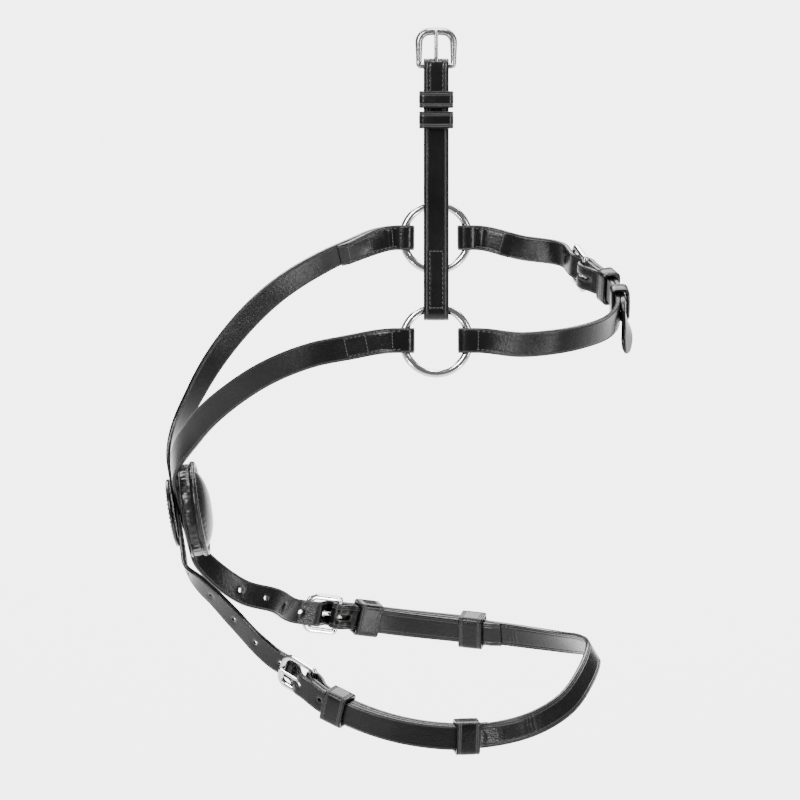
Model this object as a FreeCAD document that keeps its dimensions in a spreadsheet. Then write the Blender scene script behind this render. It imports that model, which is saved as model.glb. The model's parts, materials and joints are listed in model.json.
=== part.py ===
import FreeCAD, Part
import math
import os
from FreeCAD import Placement, Rotation, Vector

# Grackle (figure-of-eight) noseband for a full-size horse bridle, all lengths in mm.
# +Z runs up the head, +X towards the jaw, +Y to the off side. The origin lies midway
# between the centres of the two cheek rings.

doc = FreeCAD.newDocument("grackle_noseband")
sheet = doc.addObject("Spreadsheet::Sheet", "Sizes")

SIZES = [
    ("ring_span", 194.0, "distance between the two cheek ring centres"),
    ("nose_reach", 152.6, "ring axis forward to the seat of the nose pad"),
    ("nose_drop", 149.8, "ring axis down to the middle of the nose pad"),
    ("jaw_reach", 118.0, "ring axis back to the end of the jaw strap loop"),
    ("chin_drop", 268.0, "ring axis down to the chin strap"),
    ("cheek_len", 153.6, "ring wire to buckle bar along the cheekpiece"),
    ("lean", 20.0, "lean of the rings and cheekpiece towards the head, degrees"),
    ("strap_w", 16.0, "width of every strap"),
    ("strap_t", 2.8, "thickness of every strap"),
    ("ply_gap", 0.2, "air left between plies"),
    ("ring_inner", 37.0, "inside diameter of a cheek ring"),
    ("ring_wire", 5.2, "wire diameter of a cheek ring"),
    ("frame_wide", 25.6, "outside width of a buckle frame"),
    ("frame_long", 24.5, "outside length of a buckle frame"),
    ("frame_bar", 3.6, "thickness of the buckle bars"),
    ("tongue_d", 2.8, "diameter of a buckle tongue"),
    ("hole_d", 4.0, "diameter of a billet hole"),
    ("hole_pitch", 21.0, "spacing of the billet holes"),
    ("keeper_t", 2.4, "thickness of the keeper leather"),
    ("keeper_air", 0.6, "air between a keeper and the straps it holds"),
    ("chin_keeper_w", 15.5, "width of the chin keepers along the strap"),
    ("slim_keeper_w", 10.8, "width of the cheek and jaw keepers along the strap"),
    ("pad_d", 60.0, "diameter of the nose pad"),
    ("disc_d", 44.0, "diameter of the outer nose disc"),
    ("disc_t", 3.0, "thickness of the outer nose disc"),
    ("back_t", 2.0, "thickness of the backing disc"),
    ("wall_t", 2.0, "thickness of the pleated pad wall"),
    ("wall_h", 5.4, "height of the pleated pad wall"),
    ("rim_d", 4.0, "thickness of the rolled pad rim"),
    ("dome_h", 9.0, "height of the domed pad face"),
    ("face_t", 1.6, "thickness of the pad face leather"),
]
for row, (alias, value, note) in enumerate(SIZES, start=1):
    sheet.set("A%d" % row, note)
    sheet.set("B%d" % row, repr(value))
    sheet.setAlias("B%d" % row, alias)
doc.recompute()


def size(alias):
    return float(getattr(sheet, alias))


# Sizes the route tables were drawn at; a changed size stretches the routes.
DRAWN = {"span": 97.0, "nose": 152.6, "drop": 149.8, "jaw": 118.0, "chin": 268.0}
HALF = size("ring_span") / 2.0
REACH = size("nose_reach")
JAW = size("jaw_reach")
DROP = size("nose_drop")
CHIN = size("chin_drop")
LEAN = math.radians(size("lean"))
WIDE = size("strap_w")
THICK = size("strap_t")
AIR = size("ply_gap")
PLY = THICK + AIR
WIRE = size("ring_wire") / 2.0
RING_R = size("ring_inner") / 2.0 + WIRE
BAR = size("frame_bar") / 2.0
SPAN_BARS = size("frame_long") - 2.0 * BAR
TONGUE = size("tongue_d") / 2.0
KEEP_T = size("keeper_t")
KEEP_AIR = size("keeper_air")
STEP = 6.0
FIT = 0.15
RING_FIT = 0.4

RIGHT = Vector(1, 0, 0)
UP_RING = Vector(0, math.sin(LEAN), math.cos(LEAN))
OUT_NEAR = Vector(0, -math.cos(LEAN), math.sin(LEAN))
OUT_OFF = OUT_NEAR * -1.0
NEAR_C = Vector(0, -HALF, 0)
OFF_C = Vector(0, HALF, 0)


def unit(vec):
    out = Vector(vec)
    out.normalize()
    return out


def placed(point):
    """Stretch a drawn route point to the sizes in the sheet."""
    x, y, z = point
    x *= REACH / DRAWN["nose"] if x < 0 else JAW / DRAWN["jaw"]
    y *= HALF / DRAWN["span"]
    high = DROP / DRAWN["drop"]
    low = (CHIN - DROP) / (DRAWN["chin"] - DRAWN["drop"])
    z = z * high if z > -DRAWN["drop"] else -DROP + (z + DRAWN["drop"]) * low
    return Vector(x, y, z)


def rows(table):
    return [(placed(p), Vector(*n)) for p, n in table]


def mirrored(table):
    return [(Vector(p.x, -p.y, p.z), Vector(n.x, -n.y, n.z)) for p, n in table]


def smooth(table, step=STEP):
    """Even stations (point, outward, across) on a smooth curve through the rows."""
    knots = [0.0]
    for (a, _), (b, _) in zip(table, table[1:]):
        knots.append(knots[-1] + (b - a).Length)
    data = [(p.x, p.y, p.z, n.x, n.y, n.z) for p, n in table]

    def slope(j):
        if j in (0, len(data) - 1):
            lo, hi = (0, 1) if j == 0 else (j - 1, j)
            gap = knots[hi] - knots[lo]
            return [(b - a) / gap for a, b in zip(data[lo], data[hi])]
        left, right = knots[j] - knots[j - 1], knots[j + 1] - knots[j]
        return [((m - a) / left * right + (b - m) / right * left) / (left + right)
                for a, m, b in zip(data[j - 1], data[j], data[j + 1])]

    slopes = [slope(j) for j in range(len(data))]
    dense = []
    for j in range(len(data) - 1):
        span = knots[j + 1] - knots[j]
        count = max(4, int(span * 2))
        for k in range(count):
            s = k / float(count)
            h = (2 * s**3 - 3 * s**2 + 1, s**3 - 2 * s**2 + s, 3 * s**2 - 2 * s**3, s**3 - s**2)
            dense.append([h[0] * a + h[1] * span * u + h[2] * b + h[3] * span * v
                          for a, u, b, v in zip(data[j], slopes[j], data[j + 1], slopes[j + 1])])
    dense.append(list(data[-1]))
    walk = [0.0]
    for a, b in zip(dense, dense[1:]):
        walk.append(walk[-1] + math.dist(a[:3], b[:3]))
    count = max(2, int(round(walk[-1] / step)))
    line, at = [], 0
    for i in range(count + 1):
        goal = walk[-1] * i / count
        while at < len(walk) - 2 and walk[at + 1] < goal:
            at += 1
        f = (goal - walk[at]) / max(walk[at + 1] - walk[at], 1e-9)
        line.append([a + (b - a) * f for a, b in zip(dense[at], dense[at + 1])])
    out = []
    for i, row in enumerate(line):
        lo, hi = line[max(0, i - 1)], line[min(len(line) - 1, i + 1)]
        along = unit(Vector(*hi[:3]) - Vector(*lo[:3]))
        normal = Vector(*row[3:])
        normal = unit(normal - along * normal.dot(along))
        out.append((Vector(*row[:3]), normal, normal.cross(along)))
    return out


def lengths(path):
    walk = [0.0]
    for a, b in zip(path, path[1:]):
        walk.append(walk[-1] + (b[0] - a[0]).Length)
    return walk


def at_length(path, goal):
    """Station at a distance along a path."""
    walk = lengths(path)
    i = 0
    while i < len(walk) - 2 and walk[i + 1] < goal:
        i += 1
    f = (goal - walk[i]) / (walk[i + 1] - walk[i])
    a, b = path[i], path[i + 1]
    normal = unit(a[1] + (b[1] - a[1]) * f)
    across = unit(a[2] + (b[2] - a[2]) * f)
    return (a[0] + (b[0] - a[0]) * f, normal, across)


def shifted(station, lift):
    return (station[0] + station[1] * lift, station[1], station[2])


def ease(f):
    f = min(1.0, max(0.0, f))
    return f * f * (3.0 - 2.0 * f)


def turned(path, radius, tail, close=11.0, step=4.0):
    """Carry a path on round a bar and back along its own inner side for the tail."""
    point, normal, across = path[-1]
    along = unit(path[-1][0] - path[-2][0])
    centre = point - normal * radius
    arc = []
    for k in range(1, 9):
        a = math.pi * k / 8.0
        out = normal * math.cos(a) + along * math.sin(a)
        arc.append((centre + out * radius, out, across))
    total = lengths(path)[-1]
    back = []
    count = int(math.ceil(tail / step))
    for k in range(1, count + 1):
        run = tail * k / count
        base = at_length(path, total - run)
        drop = 2.0 * radius + (PLY - 2.0 * radius) * ease((run - 1.5) / close)
        back.append((base[0] - base[1] * drop, base[1] * -1.0, base[2]))
    return path + arc + back


def reverse(path):
    return [(p, n, w * -1.0) for p, n, w in path[::-1]]


def ribbon(path, wide, thick, taper=0.0, tip=0.3):
    """Solid strap along a path; the far end may narrow to a point over the taper."""
    walk = lengths(path)
    total = walk[-1]
    params = [w / total for w in walk]

    def half(run):
        left = total - run
        if taper and left < taper:
            return wide / 2.0 * (tip + (1.0 - tip) * math.sqrt(max(0.0, left / taper)))
        return wide / 2.0

    rails = {}
    for side, lift in ((-1, 1), (1, 1), (1, -1), (-1, -1)):
        spots = [p + w * (side * half(run)) + n * (lift * thick / 2.0)
                 for (p, n, w), run in zip(path, walk)]
        curve = Part.BSplineCurve()
        curve.interpolate(Points=spots, Parameters=params)
        rails[side, lift] = (curve, spots)
    ring = [(-1, 1), (1, 1), (1, -1), (-1, -1)]
    faces = []
    for a, b in zip(ring, ring[1:] + ring[:1]):
        first, second = rails[a][0], rails[b][0]
        sheet_face = Part.BSplineSurface()
        sheet_face.buildFromPolesMultsKnots(
            [first.getPoles(), second.getPoles()], [2, 2], first.getMultiplicities(),
            [0.0, 1.0], first.getKnots(), False, False, 1, first.Degree)
        faces.append(sheet_face.toShape())
    for end in (0, -1):
        corners = [rails[key][1][end] for key in ring]
        faces.append(Part.Face(Part.makePolygon(corners + corners[:1])))
    shell = Part.makeShell(faces)
    shell.sewShape()
    body = Part.makeSolid(shell)
    if body.Volume < 0:
        body.reverse()
    return body


def frame_at(origin, x_axis, y_axis, z_axis):
    """Placement whose local axes lie on three given directions."""
    matrix = FreeCAD.Matrix(x_axis.x, y_axis.x, z_axis.x, origin.x,
                            x_axis.y, y_axis.y, z_axis.y, origin.y,
                            x_axis.z, y_axis.z, z_axis.z, origin.z, 0, 0, 0, 1)
    return Placement(matrix)


def bound(kind, name, where, **links):
    """Add a Part primitive and bind its sizes to the sheet."""
    item = doc.addObject(kind, name)
    for prop, expr in links.items():
        item.setExpression(prop, expr)
    item.Placement = where
    return item


def named(item, node):
    """Mark the item that carries a node of the object."""
    item.Label = node
    NODES.append((node, item))
    return item


def cut(name, base, tools):
    tool = tools[0]
    if len(tools) > 1:
        tool = doc.addObject("Part::MultiFuse", name + "_cuts")
        tool.Shapes = tools
    item = doc.addObject("Part::Cut", name)
    item.Base = base
    item.Tool = tool
    return item


def leather(name, path, taper=0.0):
    item = doc.addObject("Part::Feature", name)
    for prop, alias in (("StrapWidth", "strap_w"), ("StrapThickness", "strap_t")):
        item.addProperty("App::PropertyFloat", prop)
        item.setExpression(prop, "Sizes." + alias)
    item.Shape = ribbon(path, WIDE, THICK, taper)
    return item


NODES = []

# --- Cheek rings ---------------------------------------------------------------------
for node, centre in (("near_ring", NEAR_C), ("off_ring", OFF_C)):
    where = frame_at(centre, RIGHT, UP_RING, RIGHT.cross(UP_RING))
    named(bound("Part::Torus", node, where,
                Radius1="(Sizes.ring_inner + Sizes.ring_wire) / 2",
                Radius2="Sizes.ring_wire / 2"), node)

# --- Routes of the straps ------------------------------------------------------------
SAG = RING_R - math.sqrt(RING_R**2 - (WIDE / 2.0)**2) + FIT
RING_TURN = WIRE + RING_FIT + THICK / 2.0
CHEEK_TURN = WIRE + SAG / 2.0 + RING_FIT + THICK / 2.0
BAR_TURN = BAR + FIT + THICK / 2.0
LEAD = 7.0


def ring_end(centre, toward, out, turn=RING_TURN):
    """Last two route rows of a strap that turns round the ring wire."""
    stop = centre - toward * (RING_R - SAG) + out * turn
    return [(stop - toward * LEAD, out), (stop, out)]


NOSE_OUT = unit(Vector(-0.985, 0, -0.174))
NOSE_DOWN = unit(Vector(0.174, 0, -0.985))
PAD_C = Vector(-REACH, 0, -DROP)
WALL_LOW = 1.1
BACK_LOW = WALL_LOW + size("wall_h") + AIR
INNER_PLY = BACK_LOW + size("back_t") + AIR + THICK / 2.0
OUTER_PLY = INNER_PLY + PLY
DISC_LOW = OUTER_PLY + THICK / 2.0 + AIR
SPREAD = 0.44
LOW_SPREAD = 0.7


def over_pad(lift):
    """Rows of a strap lying flat across the pad from upper near to lower off side."""
    out = []
    for run in (-29.0, -23.0, -12.0, 0.0, 12.0, 23.0, 29.0):
        slide = run * (LOW_SPREAD if run > 0 else SPREAD)
        out.append((PAD_C + NOSE_OUT * lift + NOSE_DOWN * run + Vector(0, slide, 0), NOSE_OUT))
    return out


UPPER = rows([((-57.0, -91.5, -7.0), (-0.10, -0.95, 0.25)),
              ((-77.0, -83.2, -14.2), (-0.2, -0.95, 0.15)),
              ((-101.0, -73.3, -27.0), (-0.32, -0.94, 0.02)),
              ((-131.5, -55.5, -53.0), (-0.52, -0.83, -0.12)),
              ((-154.0, -35.5, -83.0), (-0.78, -0.58, -0.2))])
LOWER_OFF = rows([((-151.5, 23.5, -191.5), (-0.8, 0.5, -0.35)),
                  ((-142.5, 26.0, -202.3), (-0.66, 0.66, -0.35)),
                  ((-124.4, 31.0, -217.8), (-0.5, 0.8, -0.35)),
                  ((-104.0, 45.0, -229.0), (-0.42, 0.86, -0.3))])
LOWER_NEAR = rows([((-151.5, -26.5, -190.5), (-0.78, -0.55, -0.3)),
                   ((-140.0, -32.0, -200.5), (-0.62, -0.7, -0.35)),
                   ((-128.0, -36.5, -212.5), (-0.5, -0.8, -0.35)),
                   ((-113.5, -47.0, -225.0), (-0.42, -0.86, -0.3))])
CHIN_SIDE = rows([((-84.5, -71.5, -245.0), (-0.36, -0.92, -0.2)),
                  ((-72.5, -81.6, -251.0), (-0.28, -0.95, -0.15)),
                  ((-58.9, -90.0, -255.4), (-0.2, -0.97, -0.1)),
                  ((-23.0, -101.5, -264.0), (-0.05, -1.0, 0)),
                  ((25.6, -100.0, -268.6), (0.1, -1, 0.1)),
                  ((61.4, -83.0, -267.0), (0.27, -0.95, 0.15)),
                  ((84.0, -60.0, -261.5), (0.5, -0.82, 0.25)),
                  ((98.0, -30.0, -252.5), (0.78, -0.45, 0.42))])
CHIN_END = rows([((103.6, 0.0, -247.0), (0.87, 0, 0.5))])

# The chin strap runs between its two buckles; its plies sit inside the billets.
CHIN_LOOP = smooth(CHIN_SIDE + CHIN_END + mirrored(CHIN_SIDE)[::-1])
CHIN_LEN = lengths(CHIN_LOOP)[-1]
NEAR_HEEL, OFF_HEEL = 0.0, CHIN_LEN - 24.0
chin_main = [shifted(s, -PLY) for s in CHIN_LOOP]
cut_off = [s for s, w in zip(chin_main, lengths(CHIN_LOOP)) if w < OFF_HEEL - 2.0]
chin_main = cut_off + [shifted(at_length(CHIN_LOOP, OFF_HEEL), -PLY)]
CHIN_TAIL = 128.0
chin_path = turned(chin_main, BAR_TURN, CHIN_TAIL - 14.0)
chin_path = reverse(turned(reverse(chin_path[:len(chin_main)]), BAR_TURN, CHIN_TAIL)) \
    + chin_path[len(chin_main):]

TILT = math.radians(12.0)


class Buckle:
    """Frame and tongue set on the bar inside a turned strap end."""

    def __init__(self, node, stop, heading, tilt):
        point, normal, across = stop
        self.node = node
        heading = unit(heading - normal * heading.dot(normal))
        self.heel = point - normal * BAR_TURN
        self.along = heading * math.cos(tilt) + normal * math.sin(tilt)
        self.out = normal * math.cos(tilt) - heading * math.sin(tilt)
        self.across = self.out.cross(self.along)
        self.place = frame_at(self.heel, self.along, self.across, self.out)

    def spot(self, run, lift):
        return self.heel + self.along * run + self.out * lift

    def local(self, x, y, z, rot=None):
        return self.place.multiply(Placement(Vector(x, y, z), rot or Rotation()))


def heading_of(path):
    return unit(path[-1][0] - path[-2][0])


UNDER = BAR + AIR + THICK / 2.0
OVER = BAR_TURN + PLY
PIERCE = 0.36 * SPAN_BARS


def through_buckle(buckle, lead, lap):
    """Billet rows: free lead, under the end bar, up over the heel, then the lap."""
    under = []
    for f in (1.35, 1.1, 0.95, 0.84, 0.72, 0.6, 0.5, 0.4, 0.3, 0.2, 0.1):
        lift = OVER - (OVER + UNDER) * ease((f - 0.18) / 0.62)
        under.append((buckle.spot(SPAN_BARS * f, lift), buckle.out))
    return lead + under, lap


def joined(front, lap):
    """Smooth the free rows, then follow the lap stations exactly."""
    tail = [(s[0], s[1]) for s in lap]
    return smooth(front + tail, 3.0)


near_stop = reverse(chin_main)[-1]
off_stop = chin_main[-1]
near_chin = Buckle("near_chin", near_stop, heading_of(reverse(chin_main)), TILT)
off_chin = Buckle("off_chin", off_stop, heading_of(chin_main), TILT)

near_lap = [at_length(CHIN_LOOP, NEAR_HEEL + d) for d in range(3, 133, 6)]
off_lap = [at_length(CHIN_LOOP, OFF_HEEL - d) for d in range(3, 117, 6)]

nose_near_rows = ring_end(NEAR_C, RIGHT, OUT_NEAR)[::-1] + UPPER + over_pad(INNER_PLY)
front, lap = through_buckle(off_chin, nose_near_rows + LOWER_OFF, off_lap)
near_nose = joined(front, lap)
nose_off_rows = mirrored(UPPER) + mirrored(over_pad(OUTER_PLY)) + LOWER_NEAR
nose_off_rows = ring_end(OFF_C, RIGHT, OUT_OFF)[::-1] + nose_off_rows
front, lap = through_buckle(near_chin, nose_off_rows, near_lap)
off_nose = joined(front, lap)

JAW_SIDE = rows([((54.0, -92.5, -4.4), (0.12, -0.96, 0.22)),
                 ((78.0, -81.5, -6.2), (0.38, -0.92, 0.1)),
                 ((96.0, -63.5, -8.6), (0.68, -0.73, 0)),
                 ((110.5, -36.0, -12.0), (0.88, -0.45, 0)),
                 ((116.5, 0.0, -13.0), (1, 0, 0)),
                 ((111.0, 30.0, -11.5), (0.88, 0.45, 0)),
                 ((98.0, 54.0, -9.0), (0.74, 0.66, 0))])
near_jaw_main = smooth(ring_end(NEAR_C, RIGHT * -1.0, OUT_NEAR)[::-1] + JAW_SIDE, 5.0)
jaw_buckle = Buckle("jaw", near_jaw_main[-1], heading_of(near_jaw_main), TILT)
JAW_LEN = lengths(near_jaw_main)[-1]
OFF_JAW = rows([((54.0, 92.5, -5.0), (0.12, 0.97, -0.2))])
jaw_lap = [shifted(at_length(near_jaw_main, JAW_LEN - d), PLY) for d in (3, 8, 13, 18, 23, 28,
           33, 38, 43, 48, 53, 58, 62)]
JAW_TIP = rows([((121.8, -14.0, -21.5), (0.96, -0.27, 0.1)),
                ((121.5, -22.0, -36.0), (0.93, -0.35, 0.05))])
front, lap = through_buckle(jaw_buckle, ring_end(OFF_C, RIGHT * -1.0, OUT_OFF)[::-1] + OFF_JAW,
                            jaw_lap)
off_jaw = smooth(front + [(s[0], s[1]) for s in lap] + JAW_TIP, 3.0)

# --- Cheekpiece: ring at the foot, open buckle at the head ---------------------------
CHEEK = size("cheek_len")
foot = NEAR_C + UP_RING * (RING_R - SAG) + OUT_NEAR * CHEEK_TURN
head = NEAR_C + UP_RING * (RING_R + CHEEK) + OUT_NEAR * CHEEK_TURN
cheek_main = smooth([(foot, OUT_NEAR), (foot + (head - foot) * 0.5, OUT_NEAR),
                     (head, OUT_NEAR)], 6.0)
cheek_up = turned(cheek_main, BAR_TURN, 49.0)
cheek_down = turned(reverse(cheek_main), CHEEK_TURN, 52.0)
cheek_path = reverse(cheek_down) + cheek_up[len(cheek_main):]
cheek_buckle = Buckle("cheek", cheek_main[-1], heading_of(cheek_main), 0.0)

# --- Turn the nose and jaw straps round the ring wires -------------------------------
near_nose_path = reverse(turned(reverse(near_nose), RING_TURN, 46.0))
off_nose_path = reverse(turned(reverse(off_nose), RING_TURN, 46.0))
near_jaw_path = turned(reverse(turned(reverse(near_jaw_main), RING_TURN, 20.0)),
                       BAR_TURN, 16.0)
off_jaw_path = reverse(turned(reverse(off_jaw), RING_TURN, 31.0))


def hole(name, station, diameter="Sizes.hole_d"):
    """Round hole cutter square to the strap at a station."""
    point, normal, across = station
    reach = THICK * 1.2
    where = frame_at(point - normal * reach, across, normal.cross(across), normal)
    item = bound("Part::Cylinder", name, where, Radius=diameter + " / 2")
    item.setExpression("Height", "Sizes.strap_t * 2.4")
    return item


def slot(name, buckle, run_from, run_to, low, high):
    """Slot cutter for a tongue, long along the strap."""
    width = size("tongue_d") + 1.0
    item = bound("Part::Box", name, buckle.local(run_from, -width / 2.0, low),
                 Width="Sizes.tongue_d + 1")
    item.Length = run_to - run_from
    item.Height = high - low
    return item


def nearest(path, point):
    walk = lengths(path)
    best = min(range(len(path)), key=lambda i: (path[i][0] - point).Length)
    return walk[best]


def billet_cuts(name, path, buckle, before, after):
    """Punched holes either side of the one the tongue is in, and that one as a slot."""
    centre = buckle.spot(PIERCE, BAR + TONGUE)
    run = nearest(path, centre)
    pitch = size("hole_pitch")
    tools = [hole("%s_hole%d" % (name, k + 5), at_length(path, run - pitch * k))
             for k in range(1, before + 1)]
    tools += [hole("%s_hole%d" % (name, 5 - k), at_length(path, run + pitch * k))
              for k in range(1, after + 1)]
    tools.append(slot(name + "_slot", buckle, 0.19 * SPAN_BARS, 0.58 * SPAN_BARS,
                      -2.0 * BAR, OVER + THICK))
    return tools


def notch(name, buckle):
    """Opening in a turned strap end that lets the tongue reach its bar."""
    deep = BAR_TURN + THICK
    return slot(name, buckle, -4.6, deep, -deep, deep)


TIP_TAPER = 9.0
for node, path, buckle, before, after in (
        ("near_nose_strap", near_nose_path, off_chin, 4, 1),
        ("off_nose_strap", off_nose_path, near_chin, 5, 1),
        ("off_jaw_strap", off_jaw_path, jaw_buckle, 1, 0)):
    blank = leather(node + "_blank", path, TIP_TAPER)
    named(cut(node, blank, billet_cuts(node, path, buckle, before, after)), node)
named(cut("near_jaw_strap", leather("near_jaw_blank", near_jaw_path),
          [notch("near_jaw_notch", jaw_buckle)]), "near_jaw_strap")
named(cut("chin_strap", leather("chin_blank", chin_path),
          [notch("chin_notch_near", near_chin), notch("chin_notch_off", off_chin)]),
      "chin_strap")
named(cut("cheekpiece", leather("cheek_blank", cheek_path),
          [notch("cheek_notch", cheek_buckle)]), "cheekpiece")

# --- Buckle frames and tongues -------------------------------------------------------
ROUND = 1.1
CORNER = 6.0
HEEL_CORNER = 2.6
EYE_WALL, EYE_FIT = 1.7, 0.12
TIP_OVER = 1.2
BAR_END = 0.5


def rounded(name, base, pick, radius):
    item = doc.addObject("Part::Fillet", name)
    item.Base = base
    doc.recompute()
    item.Edges = [(i + 1, radius, radius) for i, e in enumerate(base.Shape.Edges) if pick(e)]
    return item


def upright(buckle, far):
    """Pick the outside corner edges that stand square to the frame."""
    def test(edge):
        ends = [v.Point for v in edge.Vertexes]
        if len(ends) < 2 or abs(unit(ends[1] - ends[0]).dot(buckle.out)) < 0.99:
            return False
        rel = ends[0] - buckle.heel
        wide = abs(rel.dot(buckle.across)) > size("frame_wide") / 2.0 - 0.5
        return wide and (rel.dot(buckle.along) > SPAN_BARS / 2.0) == far
    return test


def face_rim(buckle):
    """Pick the edges round the two flat faces of a frame blank."""
    def test(edge):
        mid = edge.valueAt((edge.FirstParameter + edge.LastParameter) / 2.0)
        spots = [mid] + [v.Point for v in edge.Vertexes]
        return all(abs(abs((s - buckle.heel).dot(buckle.out)) - BAR) < 1e-3 for s in spots)
    return test


def stands(buckle):
    """Pick the edges that stand square to the frame."""
    def test(edge):
        ends = [v.Point for v in edge.Vertexes]
        return len(ends) > 1 and abs(unit(ends[1] - ends[0]).dot(buckle.out)) > 0.99
    return test


for buckle in (near_chin, off_chin, jaw_buckle, cheek_buckle):
    name = buckle.node + "_frame"
    outer = bound("Part::Box", name + "_outer",
                  buckle.local(-BAR, -size("frame_wide") / 2.0, -BAR),
                  Length="Sizes.frame_long", Width="Sizes.frame_wide",
                  Height="Sizes.frame_bar")
    far = rounded(name + "_far", outer, upright(buckle, True), CORNER)
    both = rounded(name + "_both", far, upright(buckle, False), HEEL_CORNER)
    soft = rounded(name + "_soft", both, face_rim(buckle), ROUND)
    window = bound("Part::Box", name + "_window",
                   buckle.local(-3.0 * BAR, -size("frame_wide") / 2.0 + 2.0 * BAR, -2.0 * BAR),
                   Length="Sizes.frame_long",
                   Width="Sizes.frame_wide - 2 * Sizes.frame_bar",
                   Height="Sizes.frame_bar * 2")
    eased = rounded(name + "_eased", window, stands(buckle), BAR)
    side_on = Rotation(Vector(1, 0, 0), -90)
    heel_bar = bound("Part::Cylinder", name + "_heel",
                     buckle.local(0, BAR_END - size("frame_wide") / 2.0, 0, side_on),
                     Radius="Sizes.frame_bar / 2")
    heel_bar.Height = size("frame_wide") - 2.0 * BAR_END
    whole = doc.addObject("Part::Fuse", name)
    whole.Base = cut(name + "_arms", soft, [eased])
    whole.Tool = heel_bar
    named(whole, name)

    name = buckle.node + "_tongue"
    eye = bound("Part::Cylinder", name + "_eye",
                buckle.local(0, -size("tongue_d") / 2.0, 0, side_on),
                Height="Sizes.tongue_d")
    eye.Radius = BAR + EYE_WALL
    bore = bound("Part::Cylinder", name + "_bore",
                 buckle.local(0, -size("tongue_d"), 0, side_on),
                 Height="Sizes.tongue_d * 2")
    bore.Radius = BAR + EYE_FIT
    rod = bound("Part::Cone", name + "_rod",
                buckle.local(0, 0, BAR + TONGUE + FIT, Rotation(Vector(0, 1, 0), 90)),
                Radius1="Sizes.tongue_d / 2", Radius2="Sizes.tongue_d * 0.4")
    rod.Height = SPAN_BARS + TIP_OVER
    whole = doc.addObject("Part::Fuse", name)
    whole.Base = cut(name + "_rodcut", rod, [bore])
    whole.Tool = cut(name + "_ringed", eye, [bore])
    named(whole, name)

# --- Keepers -------------------------------------------------------------------------


def keeper(node, station, plies, width_alias):
    """Closed leather loop round a stack of plies; the station is on the top ply."""
    point, normal, across = station
    inner_w = WIDE + 2.0 * KEEP_AIR
    stack = plies * THICK + (plies - 1) * AIR + 2.0 * KEEP_AIR
    top = THICK / 2.0 + KEEP_AIR
    low = top - stack
    along = across.cross(normal)
    base = frame_at(point, along, normal.cross(along), normal)
    w_half = size(width_alias) / 2.0
    outer = bound("Part::Box", node + "_outer",
                  base.multiply(Placement(Vector(-w_half, -inner_w / 2.0 - KEEP_T,
                                                 low - KEEP_T), Rotation())),
                  Length="Sizes." + width_alias,
                  Width="Sizes.strap_w + 2 * Sizes.keeper_air + 2 * Sizes.keeper_t")
    outer.Height = stack + 2.0 * KEEP_T
    inner = bound("Part::Box", node + "_inner",
                  base.multiply(Placement(Vector(-w_half - 1.0, -inner_w / 2.0, low),
                                          Rotation())),
                  Length="Sizes.%s + 2" % width_alias,
                  Width="Sizes.strap_w + 2 * Sizes.keeper_air")
    inner.Height = stack

    def long_edge(edge):
        ends = [v.Point for v in edge.Vertexes]
        return abs(unit(ends[1] - ends[0]).dot(along)) > 0.99
    soft = rounded(node + "_soft", outer, long_edge, KEEP_T * 0.9)
    return named(cut(node, soft, [inner]), node)


def on_path(path, buckle, distance):
    """Station on a billet a distance past the buckle's heel."""
    run = nearest(path, buckle.spot(0, OVER))
    return at_length(path, run + distance)


keeper("near_chin_keeper", on_path(off_nose_path, near_chin, 24.0), 3,
       "chin_keeper_w")
keeper("near_chin_runner", on_path(off_nose_path, near_chin, 113.0), 3,
       "chin_keeper_w")
keeper("off_chin_keeper", on_path(near_nose_path, off_chin, 24.0), 3,
       "chin_keeper_w")
keeper("off_chin_runner", on_path(near_nose_path, off_chin, 96.0), 3,
       "chin_keeper_w")
keeper("jaw_keeper", on_path(off_jaw_path, jaw_buckle, 21.0), 2, "slim_keeper_w")
keeper("jaw_runner", on_path(off_jaw_path, jaw_buckle, 49.0), 2, "slim_keeper_w")
cheek_top = lengths(cheek_main)[-1]
for node, run in (("cheek_keeper", 21.5), ("cheek_runner", 34.5)):
    keeper(node, shifted(at_length(cheek_main, cheek_top - run), PLY), 3, "slim_keeper_w")

# --- Nose disc and pad ---------------------------------------------------------------
SIDE = Vector(0, 1, 0)


def on_pad(lift, flip=False):
    out = NOSE_OUT * -1.0 if flip else NOSE_OUT
    return frame_at(PAD_C + NOSE_OUT * lift, SIDE, out.cross(SIDE), out)


disc = bound("Part::Cylinder", "nose_disc_flat", on_pad(DISC_LOW),
             Radius="Sizes.disc_d / 2", Height="Sizes.disc_t")


def top_rim(edge):
    if len(edge.Vertexes) > 1:
        return False
    return (edge.Vertexes[0].Point - PAD_C).dot(NOSE_OUT) > DISC_LOW + size("disc_t") - 0.1


named(rounded("nose_disc", disc, top_rim, 1.6), "nose_disc")
named(bound("Part::Cylinder", "pad_backing", on_pad(BACK_LOW),
            Radius="Sizes.pad_d / 2", Height="Sizes.back_t"), "pad_backing")
wall_out = bound("Part::Cylinder", "pad_wall_outer", on_pad(WALL_LOW),
                 Radius="Sizes.pad_d / 2", Height="Sizes.wall_h")
wall_in = bound("Part::Cylinder", "pad_wall_inner", on_pad(WALL_LOW - 1.0),
                Radius="Sizes.pad_d / 2 - Sizes.wall_t", Height="Sizes.wall_h + 2")
named(cut("pad_wall", wall_out, [wall_in]), "pad_wall")
named(bound("Part::Torus", "pad_rim", on_pad(-1.0),
            Radius1="Sizes.pad_d / 2 + 0.8 - Sizes.rim_d / 2",
            Radius2="Sizes.rim_d / 2"), "pad_rim")
FACE_R = "(Sizes.pad_d / 2 + 0.6 - Sizes.rim_d)"


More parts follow.
